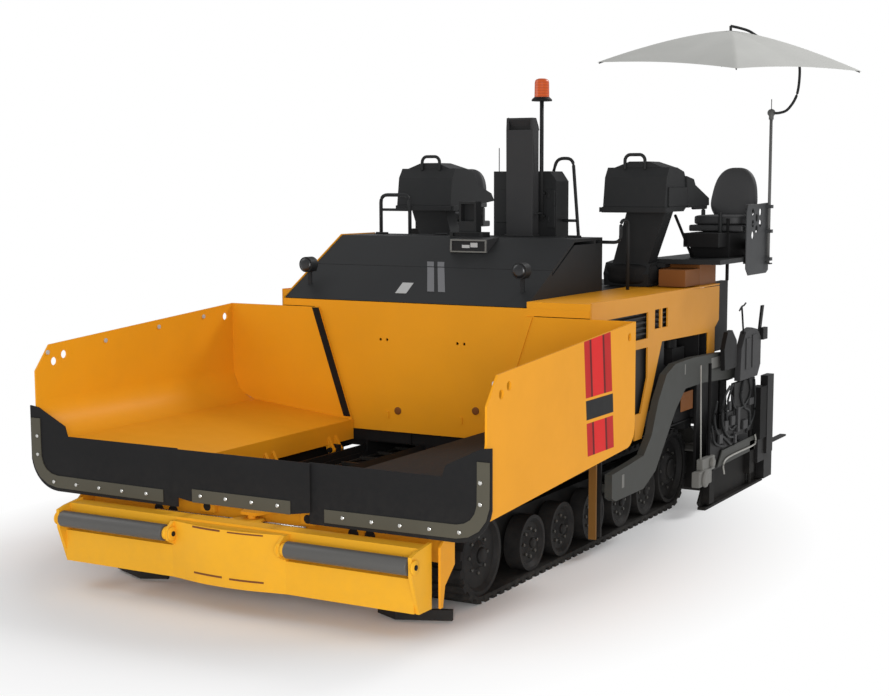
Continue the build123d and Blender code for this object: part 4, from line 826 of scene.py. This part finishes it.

# %% [markdown]
# ## The crossmember's ends and the scrapers
# Behind the beam the crossmember ends in bent plates, a shoe in front of each track keeps stones off the
# belt, and a thin rod runs across. Holes are dark discs of painted shade that stand out by a millimetre.

# %% End plates, holes, scrapers and the rod
END_PLATE = [(-2680, 640), (-2680, 420), (-2800, 310), (-2826, 180), (-2860, 180), (-2860, 560), (-2760, 640)]
SHOE = [(862, -2623), (1045, -2705), (1380, -2561), (1370, -2530), (1045, -2672), (872, -2595)]
MEMBER_HOLES = [(40, (735, -2700.1, 530)), (40, (860, -2700.1, 530)), (30, (410, -2740.1, 600))]
ends = [prism(END_PLATE, "x", 1452.0, 1468.0),
        boxes([(350, 470, -2740, -2700.2, 560, 640), (640, 1452, -2700, -2680, 420, 480.2)])]
make_pair("member_end_*", joined(ends), yellow_paint, "tractor", "machine_yellow", bevel=3)
holes = [turned([(0, 0), (0, r), (1.2, r), (1.2, 0)], at, (0, -1, 0), 28) for r, at in MEMBER_HOLES]
make_pair("member_holes_*", joined(holes), painted_shade, "tractor", "charcoal_grey")
shoe = [prism(SHOE, "z", 14, 85), boxes([(1042, 1122, -2679.7, -2646, 50, 598)])]
make_pair("scraper_*", joined(shoe), running_paint, "tractor", "frame_grey", "track_scrapers", bevel=3)
rod = pipe([(-840, -2742, 538), (-200, -2742, 541), (395, -2742, 545)], 6, 10)
make_piece("beam_rod", rod, bright_steel, "tractor", "bare_steel", smooth=True)

# %% [markdown]
# ## Wheel faces
# The bogie wheels are steel discs with a ring of bolts round the hub. The bolts are one small prism
# copied round a circle.

# %% Hub caps and wheel bolts
WHEELS = [(-2055, 320, 70, 36), (1303, 340, 110, 36)]
WHEELS += [(y, 248, 48, 26) for y in (-1311, -824, -280, 257, 755)]
CAP_X, BOLT_X, BOLTS_OUT = 1309.0, 1315.0, 52.0
cap_profile = np.array([(0, 0), (0, 0.8), (14, 0.74), (20, 0.6), (20, 0)])
caps = [turned(cap_profile * (1, hub), (CAP_X, y, z), (1, 0, 0), 20) for y, z, hub, inset in WHEELS]
make_pair("hub_caps_*", joined(caps), running_paint, "tractor", "frame_grey", smooth=True)
turns = np.linspace(0, 2 * math.pi, 8, endpoint=False)
places = [(BOLT_X - inset, y + r * math.cos(a), z + r * math.sin(a))
          for y, z, hub, inset in WHEELS for r in [hub + BOLTS_OUT] for a in turns]
make_pair("wheel_bolts_*", studs(places, (1, 0, 0), 13, 16, 6), worn_steel, "tractor", "bare_steel")

# %% [markdown]
# ## Small things on the hood
# Two pale bars and a small blank plate lie on the hood's slope, and each lamp has a lens. The slope
# rises 478 mm over 841 mm, so a plate's corners only need their place along it. The bars cross the
# lid's lower edge, so each is split there and its upper part rides on the lid.

# %% Bars, plate and lamp lenses
SLOPE_Y, SLOPE_Z, SLOPE = -636.0, 1837.0, 478.0 / 841.0
SLOPE_NORMAL = np.array([0.0, -SLOPE, 1.0]) / math.hypot(SLOPE, 1.0)


def on_slope(x_front, x_back, width, y_front, y_back, thickness):
    """A thin plate with two edges square to the slope's fall, raised along the slope's normal."""
    x = np.array([x_front, x_front + width, x_back + width, x_back], float)
    y = np.array([y_front, y_front, y_back, y_back], float)
    low = np.column_stack([x, y, SLOPE_Z + (y - SLOPE_Y) * SLOPE]) + SLOPE_NORMAL * GAP
    return np.vstack([low, low + SLOPE_NORMAL * thickness]), BOX_FACES


low_bars = [on_slope(x0, x1, 62, -497, -199, 3.0) for x0, x1 in ((-17, -192), (80, -97))]
high_bars = [on_slope(x0, x1, 62, -187, -128, 3.0) for x0, x1 in ((-200, -235), (-105, -138))]
make_piece("hood_bars_low", joined(low_bars), mid_plate, "tractor", "charcoal_grey")
make_piece("hood_bars_high", joined(high_bars), mid_plate, "hood_lid", "charcoal_grey")
make_piece("hood_plate", on_slope(-290, -300, 100, -530, -400, 2.0), pale_plate, "tractor", "charcoal_grey")
lenses = [turned([(0, 0), (0, 54), (6, 50), (10, 30), (11, 0)], (x, -516.0, 2098.0), (0, -1, 0), 28)
          for x in (-1151.0, 792.0)]
make_piece("lamp_lenses", joined(lenses), lamp_glass, "tractor", "charcoal_grey", smooth=True)

# %% [markdown]
# ## The intake on the lid
# A low box with a dark mouth stands at the top of the slope. Its rim is four bars round the mouth,
# and two pale patches show inside.

# %% Intake box, rim and patches
intake = prism([(0, 2199.5), (0, 2307), (200, 2318), (200, 2313.6)], "x", -96, 242)
rim = [(-92, 238, -9, -0.2, 2202, 2213), (-92, 238, -9, -0.2, 2294, 2306), (-92, -78, -9, -0.2, 2213, 2294),
       (224, 238, -9, -0.2, 2213, 2294)]
patches = [(14, 84, -3.0, -1.7, 2238, 2262), (92, 156, -3.0, -1.7, 2244, 2280)]
make_piece("intake_box", intake, duct_paint, "hood_lid", "charcoal_grey", bevel=2)
# The mouth's dark is a black sheet of painted shade.
make_piece("intake_dark", boxes([(-76, 222, -1.5, -0.2, 2214, 2294)]), painted_shade, "hood_lid", "charcoal_grey")
make_piece("intake_rim", boxes(rim), cast_grey, "hood_lid", "frame_grey", bevel=2)
make_piece("intake_patches", boxes(patches), pale_plate, "hood_lid", "charcoal_grey")

# %% [markdown]
# ## Stack and cabinet
# A square duct with a slanted mouth stands in front of a cabinet with chamfered top. Both stand in
# for plainer CAD forms. The duct's head is two cheeks with a roof between them, so the mouth is open.

# %% Duct and cabinet
DUCT_X, LIP_X, DUCT_FRONT, DUCT_BACK = (92, 335), (114, 313), 612, 728
HOOD_Z, LIP_Z, DUCT_TOP = 2315.3, 3190, 3287
CABINET = [(-165, 1881), (430, 1881), (430, 2770), (370, 2853), (-165, 2853)]
shaft = [(DUCT_FRONT, HOOD_Z), (DUCT_FRONT, LIP_Z), (DUCT_BACK, LIP_Z), (DUCT_BACK, HOOD_Z)]
over = [(DUCT_FRONT, DUCT_TOP), (682, DUCT_TOP), (DUCT_BACK, 3217), (DUCT_BACK, LIP_Z)]
cheek, roof = [(DUCT_FRONT, LIP_Z), *over], [(672, LIP_Z), (DUCT_FRONT, 3273), *over]
duct = [prism(shaft, "x", *DUCT_X), prism(cheek, "x", DUCT_X[0], LIP_X[0]),
        prism(cheek, "x", LIP_X[1], DUCT_X[1]), prism(roof, "x", *LIP_X),
        boxes([(80, 347, 600, DUCT_BACK, HOOD_Z, HOOD_Z + 14), (70, 357, 640, 742, 2500, 2512)])]
make_piece("stack_duct", joined(duct), duct_paint, "tractor", "charcoal_grey", "stack_and_cabinet", bevel=4)
# A black sheet inside the open mouth stands for its painted shade.
mouth = boxes([(*LIP_X, 650, 652, LIP_Z + 1, 3272)])
make_piece("stack_mouth_dark", mouth, painted_shade, "tractor", "charcoal_grey")
doors = [(-140, 60, 862, 870, 2420, 2700), (345, 420, 860, 870, 2380, 2700), (352, 372, 852, 862, 2430, 2470),
         (352, 372, 852, 862, 2630, 2670), (404, 424, 850, 862, 2560, 2600)]
cabinet = joined([prism(CABINET, "y", 870, 1110), boxes(doors)])
make_piece("cabinet", cabinet, charcoal_paint, "tractor", "charcoal_grey", "stack_and_cabinet", bevel=5)

# %% [markdown]
# ## Rails and beacon
# A bent rail is a path whose corners are rounded by a quadratic curve, then swept as a pipe. The
# beacon is a lens and a flange, two turned profiles on one pole.

# %% Rails, pole and beacon
FOOT, ROOF, RAIL_Y, BACK_Y = 1881.3, 2853, 880, 1000
POLE_X, POLE_Y, POLE_TOP = 325.0, 800.0, 3428.0
left_rail = [(850, 749.5, 2275), (1070, 749.5, 2275), (1070, 749.5, 2454), (1070, 900, 2454),
             (1070, 900, FOOT)]
tall_rail = [(x, BACK_Y, z) for x, z in ((605, FOOT), (605, 1960), (520, 2960), (372, 2960), (340, ROOF))]
right_rail = [(x, RAIL_Y, z) for x, z in ((-1310, FOOT), (-1310, 2650), (-1010, 2650), (-1010, FOOT))]
rails = [pipe(bent(right_rail, 70), 16),
         pipe([(x, RAIL_Y, 2520) for x in (-1010, -1160, -1310)], 12),
         pipe(bent(left_rail, 60), 14),
         pipe(bent(tall_rail, 62), 14),
         pipe([(x, BACK_Y, 2440) for x in (430, 500, 566)], 12),
         pipe(upright(POLE_X, POLE_Y, 2440, 3000, POLE_TOP), 17),
         boxes([(POLE_X - 14, POLE_X + 14, POLE_Y, 860, z, z + 20) for z in (2470, 2660)]),
         pipe(upright(-127, 900, ROOF, 2950, 3050), 4, 8)]
make_piece("bent_rails", joined(rails), charcoal_paint, "tractor", "charcoal_grey", "hand_rails", smooth=True)
LENS = [(30, 0), (30, 64), (34, 62), (150, 60), (168, 56), (178, 46), (184, 28), (186, 0)]
FLANGE = [(0, 0), (0, 84), (4, 86), (14, 84), (31, 66), (31, 0)]
for name, profile, finish, slot in (("lens", LENS, amber, "beacon_amber"),
                                    ("flange", FLANGE, black_paint, "charcoal_grey")):
    shape = turned(profile, (POLE_X, POLE_Y, POLE_TOP), (0, 0, 1), 36)
    make_piece(f"beacon_{name}", shape, finish, "tractor", slot, "beacon", smooth=True)

# %% [markdown]
# ## Covers and small parts on the stations
# Each console carries a raised cover, a flat loft between two rectangles, and knobs. A rubber boot
# closes the console's foot, and a box under the seat holds its springs.

# %% Console covers, knobs, boots and seat boxes
def loft_box(low_box, high_box, z0, z1):
    """A solid between two rectangles (x0, x1, y0, y1), one at each height."""
    corners = [[(x0, y0, z), (x1, y0, z), (x1, y1, z), (x0, y1, z)]
               for (x0, x1, y0, y1), z in ((low_box, z0), (high_box, z1))]
    return np.array(corners, float).reshape(-1, 3), BOX_FACES


NOSE = [(1590, 2815), (1760, 2790), (1800, 2740), (2140, 2625), (2145, 2560), (1640, 2545)]
KNOB = [(0, 0), (0, 10), (40, 9), (44, 22), (66, 26), (80, 18), (84, 0)]
covers = [loft_box((790, 1246, 1222, 1560), (933, 1103, 1228, 1480), 2880, 2934),
          boxes([(728, 1308, 1122, 1250, 2508, 2556), (1296, 1308, 1200, 1640, 2560, 2720)]),
          prism(NOSE, "x", 1000.0, 1312.0)]
make_pair("console_cover_*", joined(covers), charcoal_paint, "station_*", "charcoal_grey", bevel=8)
knobs = [turned(KNOB, (x, y, 2560.0), (0, 0.2, 1), 18) for x, y in ((1250, 1670), (1205, 1690))]
make_pair("console_knobs_*", joined(knobs), bright_steel, "station_*", "bare_steel", smooth=True)
boot = bulged((905, 1390, 1985), (228, 172, 92), (0.5, 0.7), rows=20, columns=36)
make_pair("station_boot_*", boot, belt_rubber, "station_*", "black_rubber", smooth=True)
seat_box = [pipe(bent([(1250, 1486, 2483), (1250, 1660, 2330), (1250, 1904, 2112)], 40), 13),
            boxes([(1200, 1560, 1980, 2500, 2112, 2326), (1220, 1540, 1760, 1980, 2206, 2326),
                   (1490, 1516, 2090, 2112, 1905, 2448), (1560, 1672, 2560, 2580, 2150, 2240)])]
make_pair("seat_box_*", joined(seat_box), black_paint, "station_*", "charcoal_grey", bevel=3)

# %% [markdown]
# ## The crowded rear side
# Outside each tow arm the screed's end carries a console, a tall control box, levers, hoses, valve
# blocks and a gearbox. The photograph shows them too dark to tell apart, so they are plain blocks and
# smooth hoses at their measured places. They ride on the sliding extension.

# %% Consoles, boxes and levers on the extensions
CONSOLE = [(2160, 1010), (2190, 1300), (2300, 1440), (2460, 1466), (2620, 1440), (2724, 1360), (2724, 1110),
           (2640, 1010)]
CONTROL_BOX = [(1820, 1140), (1800, 1330), (1880, 1470), (2000, 1480), (2120, 1380), (2150, 1140)]
LEVER_PLATE = [(2766, 1642), (2830, 1642), (2742, 1373), (2686, 1373)]
SIDE_BLOCKS = [(1566, 1600, 2080, 2640, 520, 999), (1566, 1596, 1780, 2080, 430, 760),
               (1566, 1592, 1480, 1790, 300, 640), (1590, 1662, 2830, 3010, 260, 990),
               (1560, 1640, 2830, 3060, 20, 260), (1600, 1640, 2730, 2860, 1330, 1440),
               (1580, 1640, 3010, 3500, 326, 344), (1600, 1640, 2640, 2830, 200, 420)]


def side_hose(points, x, radius):
    """A smooth pipe through (y, z) points, in the plane of one x."""
    return pipe(curve_through([(x, y, z) for y, z in points], 6), radius, 8)


def side_pair(name, parts, finish, slot, **kind):
    """The parts joined and put on both sliding extensions."""
    make_pair(f"side_{name}_*", joined(parts), finish, "extension_*", slot, **kind)


console = [prism(CONSOLE, "x", 1566, 1622),
           boxes([(1622, 1630, 2300, 2420, 1100, 1380), (1622, 1630, 2470, 2590, 1100, 1400)])]
side_pair("console", console, duct_paint, "charcoal_grey", bevel=10)
dark = [prism(CONTROL_BOX, "x", 1560, 1600), boxes(SIDE_BLOCKS), prism(LEVER_PLATE, "x", 1594, 1612),
        side_hose([(2231, 1668), (2250, 1600), (2296, 1400)], 1600, 9),
        side_hose([(2172, 1636), (2231, 1668), (2290, 1676), (2340, 1694)], 1600, 8)]
side_pair("boxes", dark, black_paint, "charcoal_grey", bevel=5)

# %% [markdown]
# ## Hoses, valves and pipes on the side
# Each hose is a smooth curve through a few listed points. The valve blocks are boxes in one plane, and a low
# rail, a gearbox and two pale pipes close the side below.

# %% Hoses, rail, valves, gearbox and pipes
HOSES = [([(1950, 990), (1800, 900), (1760, 700), (1900, 560), (2100, 520)], 12),
         ([(2020, 1000), (1890, 860), (1880, 690), (2000, 600), (2200, 640)], 10),
         ([(2300, 999), (2240, 880), (2330, 760), (2480, 700), (2500, 560)], 13),
         ([(2450, 1000), (2500, 900), (2420, 800), (2200, 760), (2060, 800), (2000, 900)], 9),
         ([(1620, 900), (1560, 760), (1640, 620), (1800, 560), (1980, 470)], 11),
         ([(1500, 700), (1560, 560), (1700, 500), (1850, 480)], 10),
         ([(2600, 980), (2640, 800), (2600, 640), (2400, 520)], 11)]
VALVES = [(1800, 1880, 610, 700), (1960, 2060, 640, 720), (2130, 2190, 560, 780), (2280, 2400, 560, 640),
          (1660, 1740, 520, 600), (2440, 2560, 760, 820), (1900, 1950, 780, 860), (2060, 2110, 470, 550)]
hoses = [side_hose(points, 1606, radius) for points, radius in HOSES]
side_pair("hoses", hoses, charcoal_paint, "black_rubber", smooth=True)
low_rail = prism([(1640, 320), (2660, 330), (2660, 460), (1760, 450)], "x", 1600, 1612)
side_pair("rail", [low_rail], arm_paint, "frame_grey", bevel=3)
side_pair("valves", [boxes([(1600, 1622, *row) for row in VALVES])], duct_paint, "frame_grey", bevel=3)
gearbox = [boxes([(1568, 1626, 1240, 1540, 330, 450), (1568, 1640, 1130, 1430, 230, 360)]),
           turned(button(70, 26, 6, 20), (1640, 1250, 290), (1, 0, 0)),
           turned([(0, 0), (0, 44), (30, 40), (30, 0)], (1626, 1440, 400), (1, 0, 0), 20)]
side_pair("gearbox", gearbox, cast_grey, "bare_steel", bevel=8)
pale = [side_hose([(1789, 240), (1770, 330), (1925, 372), (2530, 375), (2630, 400), (2610, 470)], 1622, 8),
        pipe([(1600, 1262, 400), (1600, 1244, 800), (1600, 1225, 1250)], 7, 8)]
side_pair("pipes", pale, pale_steel, "bare_steel", smooth=True)

# %% [markdown]
# ## Columns and panels behind the side
# Behind the arms dark columns carry the platform, two yellow panels painted brown as shade show beside the
# tracks and above the shoulders, and each arm carries small pale marks.

# %% Columns, shaded panels and marks
columns = [(1306, 1374, 2062, 2500, 1260, 1880), (1440, 1464, 1500, 2040, 260, 1060),
           (1310, 1420, 1815, 2055, 1060, 1480)]
panels = [(1441, 1446, 1180, 1460, 850, 1010), (1182, 1420, 1300, 1639, 1889, 2032)]
MARKS = [(1030, 1052, 1190, 1274), (-250, -205, 468, 569), (1660, 1900, 1170, 1262)]
make_pair("rear_column_*", boxes(columns), black_paint, "tractor", "charcoal_grey", bevel=4)
# The panels are yellow, painted brown as shade.
make_pair("brown_panels_*", boxes(panels), shaded_yellow_paint, "tractor", "machine_yellow", bevel=4)
make_pair("arm_marks_*", boxes([(1532.2, 1533.6, *row) for row in MARKS]), cast_grey, "screed", "frame_grey")

# %% [markdown]
# ## Studio
# The floor keeps the machine's soft shadow. Away from it the floor turns into plain white by a mix of
# its paint with a white glow, so no horizon shows.

# %% The floor
FLOOR_HALF = 40.0
FADE_FROM, FADE_WIDTH, FADE_CENTRE, FADE_SQUEEZE = 2.7, 1.6, (-0.6, -1.1, 0.0), (1.3, 0.95, 0.0)
WHITE = (1.0, 1.0, 1.0, 1.0)


def studio_floor():
    """A flat square that keeps the soft shadow and fades to plain white, by the length of the
    squeezed way from the fade's centre."""
    corners = [(-FLOOR_HALF, -FLOOR_HALF, 0), (FLOOR_HALF, -FLOOR_HALF, 0), (FLOOR_HALF, FLOOR_HALF, 0),
               (-FLOOR_HALF, FLOOR_HALF, 0)]
    mesh = bpy.data.meshes.new("studio_floor")
    mesh.from_pydata(corners, [], [[0, 1, 2, 3]])
    floor = bpy.data.objects.new("studio_floor", mesh)
    bpy.context.scene.collection.objects.link(floor)
    f = Finish("studio_floor", Roughness=0.9, Specular_IOR_Level=0.1)
    f.set("Base Color", f.mix(f.noise(0.7, 2.0) * 0.2, shade(WHITE, 0.93), shade(WHITE, 0.91)))
    from_centre = f.vector("SUBTRACT", f.where()[0], FADE_CENTRE)[0]
    squeezed = f.vector("MULTIPLY", from_centre, FADE_SQUEEZE)[0]
    away = f.node("ShaderNodeVectorMath", {"operation": "LENGTH"}, {0: squeezed}).outputs["Value"]
    share = ((Reading(f, away) - FADE_FROM) / FADE_WIDTH).clamped()
    white = f.node("ShaderNodeEmission", inputs={"Color": WHITE, "Strength": 1.0})
    blend = f.node("ShaderNodeMixShader", inputs={0: share, 1: f.shader.outputs[0], 2: white.outputs[0]})
    f.tree.links.new(blend.outputs[0], f.tree.nodes["Material Output"].inputs["Surface"])
    mesh.materials.append(f.material)


studio_floor()

# %% [markdown]
# ## Light
# The surround is white where the camera sees it and a dimmer soft grey where it lights the machine.
# Three large square lamps add the key light from behind, a front light and a side light.

# %% World and lamps
world = bpy.data.worlds.new("studio")
bpy.context.scene.world = world
world.use_nodes = True
tree = world.node_tree
tree.nodes.clear()
out, seen, light, mixer, path = [tree.nodes.new("ShaderNode" + kind) for kind in (
    "OutputWorld", "Background", "Background", "MixShader", "LightPath")]
seen.inputs["Color"].default_value = WHITE
seen.inputs["Strength"].default_value = 1.0
light.inputs["Color"].default_value = (0.97, 0.98, 1.0, 1)
light.inputs["Strength"].default_value = 0.55
for source, target in ((path.outputs["Is Camera Ray"], mixer.inputs[0]), (light.outputs[0], mixer.inputs[1]),
                       (seen.outputs[0], mixer.inputs[2]), (mixer.outputs[0], out.inputs[0])):
    tree.links.new(source, target)


def aim(piece, at, look):
    """The piece linked and placed at a point, its own -Z turned along the look."""
    bpy.context.scene.collection.objects.link(piece)
    piece.location = at
    piece.rotation_mode = "QUATERNION"
    piece.rotation_quaternion = look.to_track_quat("-Z", "Y")


def lamp(name, at, towards, size, power):
    """A square lamp whose light falls towards a point."""
    data = bpy.data.lights.new(name, "AREA")
    data.shape, data.size, data.energy = "SQUARE", size, power
    aim(bpy.data.objects.new(name, data), at, Vector(towards) - Vector(at))


lamp("key", (5.0, 9.0, 11.0), (0, 0, 1), 3.6, 820)
lamp("front", (6.5, -12.5, 2.6), (0, -1, 1.2), 4.6, 760)
lamp("side", (-9.0, -4.0, 8.0), (0, 0, 1), 6.0, 200)
print("lamps:", len(bpy.data.lights))

# %% [markdown]
# ## The camera
# Its place, angles and focal length were solved from straight edges and ellipses in the photograph,
# in pixels. A lens in millimetres is the focal length in pixels times the sensor's width over the
# picture's, and the shift is how far the picture's middle lies from the camera's axis.

# %% The photograph's camera
FOCAL_PX, FRAME_W, FRAME_H = 1512.1, 889.0, 696.0
CENTRE_PX = (483.48, 368.87)
YAW, PITCH = 0.498357, 0.121632
data = bpy.data.cameras.new("photo_view")
data.sensor_width = 36.0
data.lens = FOCAL_PX / FRAME_W * data.sensor_width
data.shift_x = -(CENTRE_PX[0] - FRAME_W / 2) / FRAME_W
data.shift_y = (CENTRE_PX[1] - FRAME_H / 2) / FRAME_W
look = Vector((-math.sin(YAW) * math.cos(PITCH), math.cos(YAW) * math.cos(PITCH), -math.sin(PITCH)))
camera = bpy.data.objects.new("photo_view", data)
aim(camera, Vector((5.976, -10.597, 2.746)) + Vector(CENTRE), look)
bpy.context.scene.camera = camera
bpy.context.scene.view_settings.view_transform = "Standard"
print("camera at", tuple(round(v, 3) for v in camera.location))
